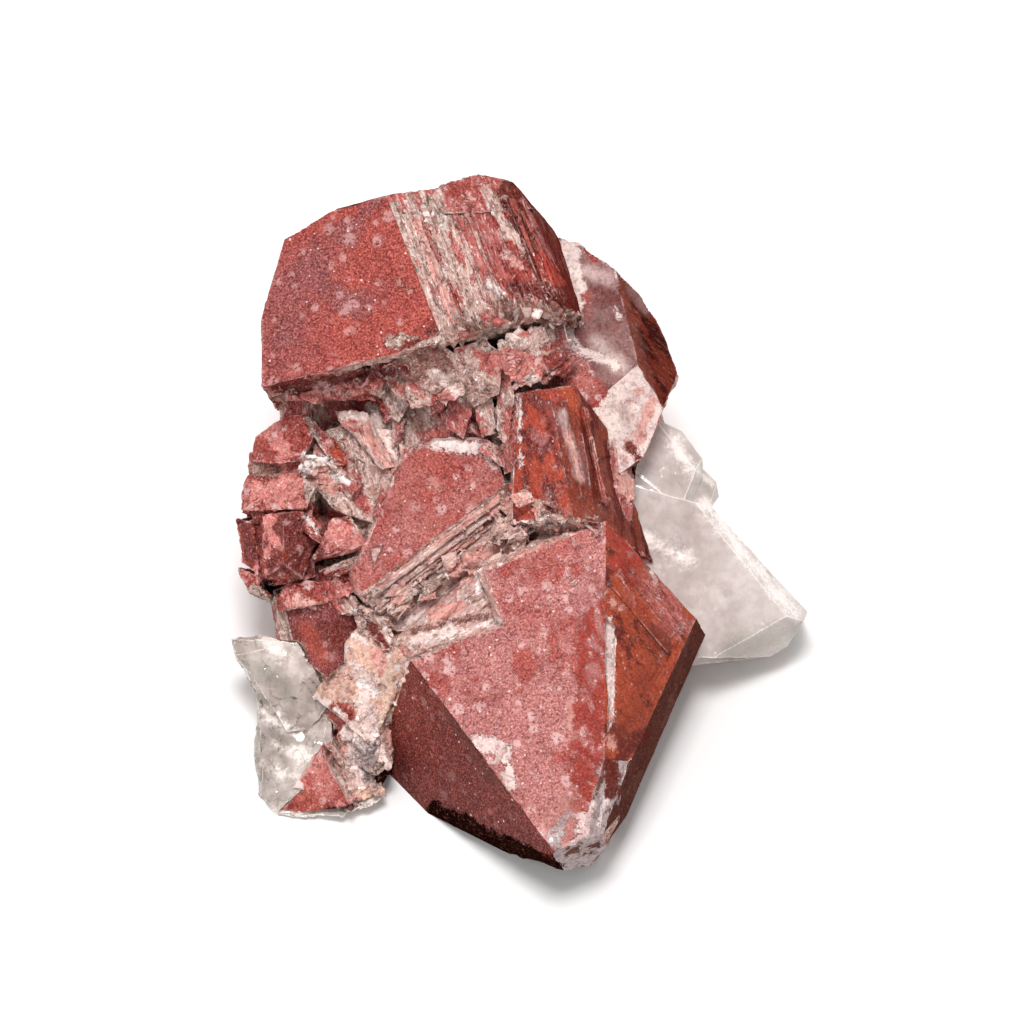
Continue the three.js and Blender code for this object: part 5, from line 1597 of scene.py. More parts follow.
@dataclass(frozen=True)
class PlainFloor:
    """A pale matt floor."""

    name: str = "pale_floor"
    tone: Colour = (0.9, 0.89, 0.885)
    rough: float = 0.9

    def build(self) -> Material:
        """Makes the material."""
        bench = ShaderBench(self.name)
        return bench.finish(bench.skin(Base_Color=self.tone, Roughness=self.rough))


# ---------------- the red body

NOISE_TOP = 0.95  # noise seldom goes above it
STAIN_SLOPE = 0.7  # how quickly a stain's border sets in
STAIN_HOLD = 0.5  # a stain stronger than this covers what lies under it for good
BLEND_STRENGTH = 0.8  # how far a blended look changes the tones


@dataclass
class Paint:
    """What each face corner of the body is made of: a ground, a stain over it, and how stained it is.

    Args:
        ground: Tone of the ground.
        ground_look: Its dust, gloss, crushed stone and flecks.
        stain: Tone of the stain.
        stain_look: Its dust, gloss, crushed stone and flecks.
        amount: 0 for bare ground, 1 for full stain, and a half at the stain's border.
    """

    ground: Array
    ground_look: Array
    stain: Array
    stain_look: Array
    amount: Array

    @classmethod
    def of(cls, zones: Array, amount: Array) -> "Paint":
        """The paint of corners that lie in the given zones and are stained by an amount."""
        layers = []
        for layer in ("ground", "stain"):
            looks = [getattr(zone.value, layer) for zone in ZONES]
            layers += [np.array([look.tone for look in looks])[zones], np.array([look.shine for look in looks])[zones]]
        return cls(*layers, amount)

    def lay(self, where: Array, look: Look, amount: Array) -> None:
        """Lays a stain on some corners, where it is stronger than what they have or covers them for good.

        Args:
            where: Numbers of the corners.
            look: What the stain is made of.
            amount: How stained each of them is.
        """
        wins = (amount > STAIN_HOLD) | (amount > self.amount[where])
        chosen = where[wins]
        self.stain[chosen] = look.tone
        self.stain_look[chosen] = look.shine
        self.amount[chosen] = amount[wins]

    def blend(self, where: Array, look: Look, share: Array) -> None:
        """Blends a look into both layers of some corners.

        Args:
            where: Numbers of the corners.
            look: What is blended in.
            share: Its share in each of them.
        """
        part = share[:, None]
        for tone in (self.ground, self.stain):
            tone[where] = tone[where] * (1 - BLEND_STRENGTH * part) + np.array(look.tone) * BLEND_STRENGTH * part
        for shine in (self.ground_look, self.stain_look):
            shine[where] = shine[where] * (1 - part) + np.array(look.shine) * part

    def shade(self, factor: Array) -> None:
        """Makes each corner lighter or darker by a factor."""
        self.ground *= factor[:, None]
        self.stain *= factor[:, None]

    def write(self, mesh: Mesh) -> None:
        """Keeps the paint on a mesh, with the amount in the stain's alpha."""
        layers = {
            "ground": np.column_stack([self.ground, np.ones(len(self.ground))]),
            "ground_look": self.ground_look,
            "stain": np.column_stack([self.stain, self.amount]),
            "stain_look": self.stain_look,
        }
        for name, rows in layers.items():
            keep_on(mesh, name, "FLOAT_COLOR", "CORNER", np.clip(rows, 0, 1))


SEEN_FACING = -0.1  # the display side's share in a triangle's normal from which patches are laid on it
BACK_FACING = -0.12
FLANK_FACING = 0.25
CRUMB_FACING = 0.1
DOWN_FACING = -0.9
BASE_FACE_SLACK = 0.0001
BODY_BASE_SLACK = 0.00002
CLEAR_BASE_SLACK = 0.00005

SHADED_ZONES = (*BROKEN_ZONES, Zone.BACK, Zone.RIBBED, Zone.STRIATED)
DARK_ZONES = (Zone.UNDERSIDE, Zone.BEVEL, Zone.SLOPE)
CRUMBLY_ZONES = (Zone.VEIN, Zone.RUBBLE, Zone.BAND, Zone.CRUST, Zone.STRIATED)
LIP = ((-4.6, 15.6, 15.0), (6.2, 18.6, 11.2))  # the broken edge under the ribbed side carries coarse crumbs
LIP_REACH_MM = 1.3
LIP_SCALE = 2.2
HALF_PLACE = (-27.0, -6.5, 0.0)  # the halves meet in the plane through this place, in the display frame
HALF_NORMAL = (-0.275, 0.96, 0.0)
HALF_SLACK = 1e-6


def on_base(points: Array, slack: float) -> Array:
    """Tells which points lie on the flat base, or within some metres of it."""
    return to_world(points)[:, 2] < slack


@dataclass(frozen=True)
class Relief:
    """How the body's surface is broken, beyond what each finish says.

    Args:
        wave_size: Width of the slow swells, in millimetres as all widths and depths here.
        grain_size: Width of the grains.
        wobble: How far the cracks are shifted off their straight lines.
        wobble_size: Width of those shifts.
        fine_scale: How many times smaller the second set of shards is.
        fine_share: Its height, as a share of the first set's.
        crack_width: Width of the cracks, as a share of a shard.
        crack_depth: Their depth, as a share of the shards' height.
        full_crack: Height of the shards at which the cracks are deepest and their painted shade is darkest.
        sunk: How far the shards' mean level lies under the surface, as a share of their height.
        inset: How far the relief's mean level lies under the solid's surface.
        chip: Depth of the chips along crystal edges.
        chip_size: Width of the chips.
    """

    wave_size: float = 3.2
    grain_size: float = 0.8
    wobble: float = 0.35
    wobble_size: float = 2.0
    fine_scale: float = 2.3
    fine_share: float = 0.4
    crack_width: float = 0.09
    crack_depth: float = 0.35
    full_crack: float = 0.3
    sunk: float = 0.2
    inset: float = 0.04
    chip: float = 0.3
    chip_size: float = 1.4


@dataclass(frozen=True)
class WearAndShade:
    """How stains, patches and edges are worn, and how much painted shade lies in cracks and creases.

    Args:
        border_mm: Width over which a patch's border fades.
        ragged_mm: Width of the waves in a patch's border.
        ragged_most: Most that such a wave adds to a patch's radius.
        ragged_share: The same for a small patch, as a share of its radius.
        soft_share: Width over which a soft patch fades, as a share of its radius.
        soft_cover: How far a soft patch covers its middle.
        darkest: Tone of the darkest shard.
        spread: How much lighter the palest shard is.
        crack_painted_shade: How much darker a crack is painted, as painted shade in it.
        crease_painted_shade: How much darker a crease is painted, as painted shade in it.
        pale_edge_mm: Width of the places where an outer edge is made paler.
        pale_edge_cover: How far they are made paler.
    """

    border_mm: float = 1.4
    ragged_mm: float = 1.5
    ragged_most: float = 0.45
    ragged_share: float = 0.6
    soft_share: float = 1.4
    soft_cover: float = 0.8
    darkest: float = 0.86
    spread: float = 0.3
    crack_painted_shade: float = 0.15
    crease_painted_shade: float = 0.45
    pale_edge_mm: float = 1.0
    pale_edge_cover: float = 0.6


@dataclass
class RedBody:
    """The stained crystals and the vein stone that they grew on.

    Args:
        back_edge_mm: Longest mesh edge where the body faces away from the display side.
        side_share: How much longer mesh edges are on its flanks than in front.
        fold_edge_mm: Longest mesh edge beside a crystal's edge in front.
        base_edge_mm: Longest mesh edge on the flat base.
        passes: Most rounds of refining.
        seed: Seed of every pattern in its relief.
        worn_deg: Dihedral angle from which an edge counts as a crystal edge.
        sharp_deg: Dihedral angle from which an edge is shown sharp.
        turn: How far the ribs of one shard are turned from another's.
        stretch_limits: Least and most that the finish is stretched along the ribs.
        relief: How its surface is broken.
        wear_and_shade: How it is worn, and how dark its cracks and creases are painted as shade.
    """

    back_edge_mm: float = 1.4
    side_share: float = 2.0
    fold_edge_mm: float = 0.34
    base_edge_mm: float = 3.0
    passes: int = 16
    seed: int = 7
    worn_deg: float = 28.0
    sharp_deg: float = 26.0
    turn: float = 0.4
    stretch_limits: tuple[float, float] = (1.3, 6.0)
    relief: Relief = Relief()
    wear_and_shade: WearAndShade = WearAndShade()

    def build(
        self, solid: Mesh, sockets: Sequence[ConvexCrystal], material: Material
    ) -> list[Object]:
        """Makes the body in two halves, so that neither mesh is too heavy.

        Args:
            solid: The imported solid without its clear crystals, in display-frame millimetres.
            sockets: The clear crystals that sit in it.
            material: Its finish.

        Returns:
            The halves' objects, in the row frame.
        """
        tidy_triangles(solid)
        shell = Shell.of_mesh(solid)
        shell.zones = self._zones(shell, sockets)
        shell = shell.refined(self._longest_edges, self.passes)
        LOG.info("red body: %d triangles", len(shell.faces))
        rest = Shell(shell.points.copy(), shell.faces, shell.zones)
        folds = rest.folds(math.radians(self.worn_deg))
        cells = Shards.of(self._wobbled(rest.centres(), rest.zones), self.seed + 2)
        cracks = self._break_surface(shell, folds[0])
        whole = mesh_of(shell.points, shell.faces, "red_body")
        self._paint(rest, cells, cracks, folds).write(whole)
        keep_on(whole, "flow", "FLOAT_VECTOR", "CORNER", self._flow(rest, cells))
        crumbly = lie_in(rest.zones, CRUMBLY_ZONES) & (rest.face_normals()[:, 2] > CRUMB_FACING)
        lip = line_distance(rest.centres(), *LIP) < LIP_REACH_MM
        keep_on(whole, "crumbly", "FLOAT", "FACE", crumbly | lip)
        keep_on(whole, "coarse", "FLOAT", "FACE", np.where(lip, LIP_SCALE, 1.0))
        keep_on(whole, "shade", "FLOAT", "POINT", np.ones(len(shell.points)))
        return [self._half(whole, name, upper, material) for name, upper in (("red_upper", True), ("red_lower", False))]

    def _half(
        self, whole: Mesh, name: str, upper: bool, material: Material
    ) -> Object:
        """One half of the body, cut in a plane and closed again.

        Args:
            whole: The body, in display-frame millimetres.
            name: Name of the piece.
            upper: Whether it is the half that the plane's direction points to.
            material: Its finish.

        Returns:
            The half's object, in the row frame.
        """
        half = whole.copy()
        with edited(half) as work:
            cut_in_plane(work, HALF_PLACE, HALF_NORMAL, dist=HALF_SLACK, clear_inner=upper, clear_outer=not upper)
        place_in_row(half)
        half.set_sharp_from_angle(angle=math.radians(self.sharp_deg))
        half.materials.append(material)
        return new_object(name, half)

    @staticmethod
    def _zones(shell: Shell, sockets: Sequence[ConvexCrystal]) -> Array:
        """Gives each triangle the zone of the crystal face or the part of the broken stone that it lies in."""
        centres, normals = shell.centres(), shell.face_normals()
        zones = np.full(len(shell.faces), ZONE_AT[Zone.VEIN])
        zones[normals[:, 2] < BACK_FACING] = ZONE_AT[Zone.BACK]
        for region in STONE_REGIONS:
            zones[region.holds(centres)] = ZONE_AT[region.zone]
        for face in CRYSTAL_FACES:
            zones[face.holds(centres, normals)] = ZONE_AT[face.zone]
        for crystal in sockets:
            zones[crystal.reaches(centres)] = ZONE_AT[Zone.SOCKET]
        return zones

    def _longest_edges(self, shell: Shell) -> Array:
        """Longest allowed edge for each triangle: short in front, longer on the flanks, at the back and below."""
        edge = zone_values("edge_mm")[shell.zones]
        normals = shell.face_normals()
        facing = normals[:, 2]
        on_fold = shell.folds(math.radians(self.worn_deg))[0][shell.faces].sum(axis=1) > 1
        edge = np.where(on_fold, np.minimum(edge, self.fold_edge_mm), edge)
        edge = np.where(facing < FLANK_FACING, edge * self.side_share, edge)
        edge = np.where(facing < BACK_FACING, np.maximum(edge, self.back_edge_mm), edge)
        below = on_base(shell.centres(), BASE_FACE_SLACK) & (normals @ DISPLAY_AXES[2] < DOWN_FACING)
        return np.where(below, self.base_edge_mm, edge)

    @staticmethod
    def _stretched(points: Array, zones: Array, size: str) -> Array:
        """Places counted in steps of a finish's own size, and shortened along its ribs."""
        out = points.copy()
        for index in np.unique(zones):
            finish = ZONES[index].value
            chosen = zones == index
            direction = np.array(finish.along) / np.linalg.norm(finish.along)
            length = points[chosen] @ direction
            out[chosen] -= direction * (length * (1.0 - 1.0 / finish.stretch))[:, None]
            out[chosen] /= getattr(finish, size)
        return out

    def _wobbled(self, points: Array, zones: Array) -> Array:
        """Places in steps of the shards' size, shifted a little so that no crack runs straight."""
        size = self.relief.wobble_size
        wobble = np.stack([smooth_noise(points, size, self.seed + 20 + k, 2) for k in range(3)], axis=1)
        return self._stretched(points + self.relief.wobble * wobble, zones, "shard_size")

    def _break_surface(self, shell: Shell, edges: Array) -> Array:
        """Moves the vertices in and out, as each zone's swells, shards and grains and the worn edges ask.

        Args:
            shell: The fine shell, which is changed.
            edges: 1 for each vertex on a crystal's edge.

        Returns:
            Depth of the cracks at each vertex, 0 to 1.
        """
        points, normals, how = shell.points, shell.vertex_normals(), self.relief

        def strength(name: str) -> Array:
            """A finish's value at each vertex, taken from the calmest triangle round it."""
            return shell.least(zone_values(name)[shell.zones])

        wave = smooth_noise(points, how.wave_size, self.seed, 2) * strength("wave_mm")
        grain = smooth_noise(points, how.grain_size, self.seed + 1, 2) * strength("grain_mm")
        shard_mm = strength("shard_mm")
        vertex_zone = np.zeros(len(points), int)
        for k in range(3):
            vertex_zone[shell.faces[:, k]] = shell.zones
        rough = shard_mm > 0
        place = self._wobbled(points[rough], vertex_zone[rough])
        coarse, fine = Shards.of(place, self.seed + 2), Shards.of(place * how.fine_scale, self.seed + 3)
        relief, cracks = np.zeros(len(points)), np.zeros(len(points))
        relief[rough] = coarse.relief() + how.fine_share * fine.relief()
        cracks[rough] = np.clip(1.0 - coarse.edge / how.crack_width, 0, 1)
        cracks *= np.clip(shard_mm / how.full_crack, 0, 1)
        height = wave + grain + shard_mm * (relief - how.crack_depth * cracks)
        height -= how.inset + how.sunk * shard_mm
        height -= edges * how.chip * np.clip(smooth_noise(points, how.chip_size, self.seed + 4, 3), 0, 1)
        height[on_base(points, BODY_BASE_SLACK)] = 0.0
        shell.points = points + normals * height[:, None]
        return cracks

    def _paint(
        self, rest: Shell, cells: Shards, cracks: Array, folds: tuple[Array, Array]
    ) -> Paint:
        """Works out what each corner is made of, with painted shade in its cracks and creases.

        Args:
            rest: The shell before it was broken.
            cells: The shards that its triangles lie in.
            cracks: Depth of the cracks at each vertex.
            folds: 1 for each vertex on an outer edge, and in a crease.

        Returns:
            The paint of each corner.
        """
        how = self.wear_and_shade
        corner = rest.faces.ravel()
        zones = np.repeat(rest.zones, 3)
        paint = Paint.of(zones, self._own_stain(rest))
        self._lay_patches(paint, rest, corner, zones)
        shard = np.where(lie_in(zones, SHADED_ZONES), how.darkest + how.spread * np.repeat(cells.chance[:, 2], 3), 1.0)
        # Each shard gets a random tone, and the cracks are painted darker as painted shade.
        paint.shade(shard * (1.0 - how.crack_painted_shade * cracks[corner]))
        outer, crease = folds
        # The outer edges are made paler, except in the dark zones.
        pale_edge = outer * np.clip(0.5 + 0.9 * smooth_noise(rest.points, how.pale_edge_mm, self.seed + 60, 3), 0, 1)
        pale = np.where(lie_in(zones, DARK_ZONES), 0.0, how.pale_edge_cover)
        paint.blend(np.arange(len(corner)), PINK_SCAR_AND_HIGHLIGHT, pale * pale_edge[corner])
        # Painted shade: the creases are painted darker.
        paint.shade(1.0 - how.crease_painted_shade * crease[corner])
        return paint

    def _own_stain(self, rest: Shell) -> Array:
        """How far each zone's own patches cover each corner."""
        corner = rest.faces.ravel()
        zones = np.repeat(rest.zones, 3)
        key, back = np.unique(corner * len(ZONES) + zones, return_inverse=True)
        vertex, zone = key // len(ZONES), key % len(ZONES)
        place = self._stretched(rest.points[vertex], zone, "patch_mm")
        value = smooth_noise(place, 1.0, self.seed + 30, 3)
        level = NOISE_TOP - 2.0 * NOISE_TOP * zone_values("share")[zone]
        return np.clip(0.5 + STAIN_SLOPE * (value - level), 0, 1)[back]

    def _lay_patches(self, paint: Paint, rest: Shell, corner: Array, zones: Array) -> None:
        """Lays the named patches on the corners of their zones.

        Args:
            paint: The paint, which is changed.
            rest: The shell before it was broken.
            corner: Vertex of each corner.
            zones: Zone of each corner.
        """
        how = self.wear_and_shade
        front = np.flatnonzero(np.repeat(rest.face_normals()[:, 2] > SEEN_FACING, 3))
        flat = rest.points[corner[front], :2]
        ragged = smooth_noise(rest.points, how.ragged_mm, self.seed + 50, 3)
        for patch in PATCHES:
            low = np.minimum(patch.start, patch.end) - patch.radius - how.border_mm
            high = np.maximum(patch.start, patch.end) + patch.radius + how.border_mm
            near = front[((flat > low) & (flat < high)).all(axis=1)]
            near = near[lie_in(zones[near], patch.zones)]
            vertex = corner[near]
            wander = ragged[vertex] * min(how.ragged_most, how.ragged_share * patch.radius)
            inside = patch.radius + wander - line_distance(rest.points[vertex][:, :2], patch.start, patch.end)
            if patch.soft:
                share = np.clip(0.5 + inside / (how.soft_share * patch.radius), 0, 1)
                paint.blend(near, patch.look, share * how.soft_cover)
            else:
                paint.lay(near, patch.look, np.clip(0.5 + inside / how.border_mm, 0, 1))

    def _flow(self, rest: Shell, cells: Shards) -> Array:
        """Rib coordinates at each corner: short along the ribs, and turned a little from shard to shard."""
        places = rest.points[rest.faces]
        along = zone_values("along")[rest.zones]
        along = along / np.linalg.norm(along, axis=1, keepdims=True) + self.turn * (cells.chance - 0.5)
        along /= np.linalg.norm(along, axis=1, keepdims=True)
        length = (places * along[:, None, :]).sum(axis=2, keepdims=True)
        shorten = 1.0 - 1.0 / np.clip(zone_values("stretch")[rest.zones], *self.stretch_limits)
        return places - along[:, None, :] * length * shorten[:, None, None]


def place_in_row(mesh: Mesh) -> None:
    """Moves a mesh from display-frame millimetres to the row frame's metres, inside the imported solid's box."""
    move_vertices(mesh, to_world(coordinates(mesh)))
    clip_to_box(mesh)


def clip_to_box(mesh: Mesh) -> None:
    """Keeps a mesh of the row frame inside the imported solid's box."""
    low, high = (np.array(corner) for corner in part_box(NODE))
    move_vertices(mesh, np.clip(coordinates(mesh), low, high))


# ---------------- crumbs


@dataclass
class StoneCrumbs:
    """Small sharp crumbs that lie all over the broken stone.

    Args:
        per_mm2: Crumbs on each square millimetre.
        size_mm: Mean width of one.
        spread: How much the widths differ, as a share of the mean.
        flat: Height of the smallest and the largest, as a share of their widths.
        knock: How far their corners are knocked out of shape, as a share of the width.
        sink: How deep one is sunk in the stone, as a share of its width.
        shades: Darkest and lightest of them.
        seed: Seed of their places, turns and shades.
        shape_seed: Seed of their common shape.
        seed_step: Between the seeds of their turns, their sizes and their shades.
    """

    per_mm2: float = 1.1
    size_mm: float = 0.46
    spread: float = 0.6
    flat: tuple[float, float] = (0.5, 0.7)
    knock: float = 0.17
    sink: float = 0.15
    shades: tuple[float, float] = (0.72, 1.3)
    seed: int = 11
    shape_seed: int = 5
    seed_step: int = 17

    def build(self, stones: Sequence[Object], material: Material) -> Object:
        """Makes the crumbs on some pieces of stone.

        Args:
            stones: Pieces with the face value crumbly.
            material: The crumbs' finish.

        Returns:
            One object with all the crumbs.
        """
        whole = bpy.data.meshes.new("stone_crumbs")
        work = bmesh.new()
        for number, stone in enumerate(stones):
            work.from_mesh(self._on(stone, self.seed + number, material))
        work.to_mesh(whole)
        work.free()
        whole.materials.clear()
        whole.materials.append(material)
        clip_to_box(whole)
        return new_object("stone_crumbs", whole)

    def _on(self, stone: Object, seed: int, material: Material) -> Mesh:
        """The crumbs on one piece of stone, from a seed of its own."""
        holder = new_object("crumb_work", stone.data.copy())
        modifier = holder.modifiers.new("crumbs", "NODES")
        modifier.node_group = self._tree(material)
        for item in modifier.node_group.interface.items_tree:
            if item.name == "Seed":
                modifier[item.identifier] = seed
        graph = bpy.context.evaluated_depsgraph_get()
        mesh = bpy.data.meshes.new_from_object(holder.evaluated_get(graph))
        bpy.data.objects.remove(holder)
        return mesh

    def _tree(self, material: Material) -> NodeTree:
        """The node tree that scatters crumbs over crumbly faces.

        Args:
            material: The crumbs' finish.

        Returns:
            The tree, with the inputs Density, Width and Seed.
        """
        bench = GeometryBench("stone_crumbs", Density=self.per_mm2 / MM**2, Width=self.size_mm * MM, Seed=self.seed)
        seed, width = bench.given("Seed"), bench.given("Width")
        spots = bench.node(
            "GeometryNodeDistributePointsOnFaces", {"distribute_method": "RANDOM"}, Mesh=bench.given("Geometry"),
            Density=bench.named("crumbly") * bench.given("Density"), Seed=seed,
        )
        sunk = bench.scaled(spots.outputs["Normal"], width * -self.sink)
        placed = bench.sock("GeometryNodeSetPosition", 0, Geometry=spots.outputs["Points"], Offset=sunk)
        turn = bench.chance("FLOAT_VECTOR", (0.0,) * 3, (math.tau,) * 3, seed + self.seed_step)
        low, high = 1.0 - self.spread, 1.0 + self.spread
        least, most = (low, low, self.flat[0] * low), (high, high, self.flat[1] * high)
        size = bench.chance("FLOAT_VECTOR", least, most, seed + 2 * self.seed_step)
        shade = bench.chance("FLOAT", *self.shades, seed + 3 * self.seed_step)
        ball = bench.sock("GeometryNodeMeshIcoSphere", "Mesh", Radius=0.5, Subdivisions=1)
        knocked = bench.chance("FLOAT_VECTOR", (-self.knock,) * 3, (self.knock,) * 3, self.shape_seed)
        crumb = bench.sock("GeometryNodeSetPosition", 0, Geometry=ball, Offset=knocked)
        scale = bench.scaled(size, width * bench.named("coarse"))
        laid = bench.sock(
            "GeometryNodeInstanceOnPoints", 0, Points=placed, Instance=crumb, Rotation=turn, Scale=scale
        )
        tinted = bench.sock(
            "GeometryNodeStoreNamedAttribute", 0, {"data_type": "FLOAT", "domain": "INSTANCE"}, Geometry=laid,
            Name="shade", Value=shade,
        )
        solid = bench.sock("GeometryNodeRealizeInstances", 0, Geometry=tinted)
        dressed = bench.sock("GeometryNodeSetMaterial", 0, Geometry=solid, Material=material)
        bench.node("NodeGroupOutput", Geometry=dressed)
        return bench.tree


# ---------------- clear crystals

CLEAR_POINT = ConvexCrystal(
    heart=(20, -8, -2),
    faces=(
        ((19, 0.3, 2.8), (28.5, -11.5, 2.4), (15, -6, 3.4)),
        ((19, 0.3, 2.8), (28.5, -11.5, 2.4), (30.6, -11.2, -1.2)),
        ((23.5, -14, 3.5), (28.5, -11.6, 2.4), (27, -15.8, -1.6)),
        ((30.4, -12, 0), (29, -14.5, 0), (29.8, -13, -6)),
        ((28.8, -14.8, -1), (27, -15.8, -1.6), (27.6, -15, -8)),
        ((27, -15.8, -1.6), (19, -15.5, -1.6), (23, -15.4, -8)),
        ((21.4, -1.2, -1), (31, -11.4, -2), (24.8, -5.6, -9)),
        ((15, 1, 2), (20.7, -0.6, 2), (17, 0.6, -8)),
        ((11, 0, 0), (11, -10, 0), (11, -5, -8)),
        ((0, -5, -9), (10, -5, -9), (0, -15, -6.5)),
    ),
)
CLEAR_FOOT = ConvexCrystal(corners=(
    (15, -12, 0), (19, -16.6, -2.5), (22, -16.4, -3), (27, -15.7, -3), (20, -10, -6), (26, -12, -7), (14, -14, -7),
    (22, -15, -8),
))
CLEAR_ROOT = (
    ConvexCrystal(corners=(
        (15.4, 8.4, -1), (18.2, 7, -1.5), (20.4, 4.2, -1), (19.6, 3, 0.5), (13.5, 3, 1.5), (13, -3, 2), (18, -1, 2),
        (20.5, 0, -2), (14, 8, -7), (18, 4, -9), (13, -4, -9), (20, -2, -8),
    )),
    ConvexCrystal(corners=(
        (19, 4.6, -1), (21.8, 1.8, -2), (22, 0.4, -2.5), (20.7, -1.4, -1), (17, -1, 1.6), (16, 3, 1.2), (19, 3, -8),
        (18, -3, -8),
    )),
)
CLEAR_SHARD = (
    ConvexCrystal(corners=(
        (-26.8, -13.8, 3.2), (-26.4, -15.4, 4.4), (-24, -13.3, 3.6), (-24, -18.5, 5), (-20, -14, 6), (-19, -23, 4.6),
        (-21, -23, 4.6), (-16.5, -20, 5.4), (-25.6, -17, 0), (-21, -15, -4), (-17, -18, -4), (-24, -20, -2),
    )),
    ConvexCrystal(corners=(
        (-24.2, -19, 2), (-24.6, -26, 2), (-23.6, -29.4, 4.2), (-22.4, -31.2, 5), (-20, -29, 5.6), (-18, -26.5, 6),
        (-16.5, -24, 5), (-16.8, -19.5, 4), (-22, -22, 3.4), (-24, -28, -2), (-21, -29.5, -2), (-17, -26, -5),
        (-18, -20, -6), (-23, -20, -4),
    )),
    ConvexCrystal(corners=(
        (-22.4, -31.1, 5), (-19, -31.4, 5.8), (-15.6, -31.1, 6.2), (-12.6, -30.2, 6.2), (-11.4, -29, 5.8),
        (-22, -29, 2), (-12, -27, 2), (-17, -30, 1),
    )),
)


@dataclass(frozen=True)
class ClearPlace:
    """A place on a clear crystal, as seen from the display side: one with frost or a painted highlight, or a dusky one.

    Args:
        start: One end of its middle line.
        end: The other end.
        radius: Half its width, in millimetres.
        fade_mm: Width over which its border fades.
    """

    start: Spot
    end: Spot
    radius: float
    fade_mm: float = 1.2

    def cover(self, places: Array) -> Array:
        """How far it covers each place, 0 to 1, with a half at the border."""
        distance = line_distance(places[:, :2], self.start, self.end)
        return np.clip(0.5 + (self.radius - distance) / self.fade_mm, 0.0, 1.0)


FROST_AND_HIGHLIGHT_POINT = (
    ClearPlace((13.6, -3.4), (18.6, -5.8), 0.7, 2.4),
    # Painted highlight: the next two places are the bright strip of the right bevel and a thin bright line on it.
    ClearPlace((20.4, -0.4), (29.4, -11.4), 0.7, 2.0),
    ClearPlace((23.2, -4.2), (26.9, -9.8), 0.05, 0.7),
    ClearPlace((18.8, 4.0), (21.4, 1.4), 0.3, 1.2),
    ClearPlace((17.4, 5.8), (19.4, 3.0), 0.8, 2.2),
)
DUSKY_POINT = (
    ClearPlace((23.4, -15), (29.8, -13.2), 1.7, 2.6),
    ClearPlace((19.4, 4.4), (21.2, 0.6), 0.6, 2.2),
)
FROST_AND_HIGHLIGHT_SHARD = (
    ClearPlace((-23.4, -13.4), (-21.8, -15.6), 0.8, 2.0),
    # Painted highlight: the next place stands for a cluster of glints.
    ClearPlace((-24.4, -20.4), (-21.2, -22.6), 0.8, 1.8),
    ClearPlace((-22.4, -24.2), (-19.0, -25.6), 0.5, 2.0),
    ClearPlace((-23.4, -26.4), (-20.6, -27.4), 0.4, 2.4),
    ClearPlace((-22.2, -30.8), (-12.4, -29.8), 0.4),
)
DUSKY_SHARD = (
    ClearPlace((-23.6, -16.6), (-21.0, -19.2), 1.1, 1.8),
    ClearPlace((-25.8, -15.4), (-24.6, -17.4), 0.5, 1.6),
)


@dataclass
class ClearGrowth:
    """Clear crystals that grew into one another.

    Args:
        name: Name of the piece.
        crystals: Its convex crystals.
        frost_and_highlight: Its places with frost, and its places of painted highlight.
        dusky: Its dusky places.
        edge_mm: Longest mesh edge.
        wave_mm: Height of its slow swells.
        shard_mm: Height of its broken facets.
        shard_size: Width of those facets.
        seed: Seed of its relief.
        wave_size: Width of the slow swells.
        inset_mm: How far the relief's mean level lies under its faces.
        passes: Most rounds of refining.
        rim_deg: Dihedral angle from which an edge counts as a rim.
        sharp_deg: Dihedral angle from which an edge is shown sharp.
    """

    name: str
    crystals: tuple[ConvexCrystal, ...]
    frost_and_highlight: tuple[ClearPlace, ...]
    dusky: tuple[ClearPlace, ...]
    edge_mm: float = 0.42
    wave_mm: float = 0.08
    shard_mm: float = 0.05
    shard_size: float = 2.2
    seed: int = 3
    wave_size: float = 2.6
    inset_mm: float = 0.04
    passes: int = 14
    rim_deg: float = 16.0
    sharp_deg: float = 24.0

    def solid(self, grow: float = 0.0) -> Mesh:
        """The crystals joined, in display-frame millimetres, each face moved out by grow."""
        first, *rest = (crystal.mesh(grow) for crystal in self.crystals)
        return combined(first, rest, "UNION")

    def build(self, material: Material) -> Object:
        """Makes the piece.

        Args:
            material: Its finish.

        Returns:
            Its object, in the row frame.
        """
        solid = self.solid()
        cut_at_base(solid)
        tidy_triangles(solid)
        shell = Shell.of_mesh(solid)
        shell = shell.refined(lambda made: np.full(len(made.faces), self.edge_mm), self.passes)
        points, normals = shell.points, shell.vertex_normals()
        cells = Shards.of(points / self.shard_size, self.seed + 2)
        height = self.wave_mm * smooth_noise(points, self.wave_size, self.seed, 3)
        height = height + self.shard_mm * cells.relief() - self.inset_mm
        height[on_base(points, CLEAR_BASE_SLACK)] = 0.0
        mesh = mesh_of(points + normals * height[:, None], shell.faces, self.name)
        # The outer edges, which the clear quartz paints whiter as a painted highlight.
        keep_on(mesh, "rim", "FLOAT", "POINT", shell.folds(math.radians(self.rim_deg))[0])
        for name, places in (("frost_and_highlight", self.frost_and_highlight), ("dusky", self.dusky)):
            keep_on(mesh, name, "FLOAT", "POINT", np.max([place.cover(points) for place in places], axis=0))
        place_in_row(mesh)
        mesh.set_sharp_from_angle(angle=math.radians(self.sharp_deg))
        mesh.materials.append(material)
        return new_object(self.name, mesh)


# ---------------- the studio


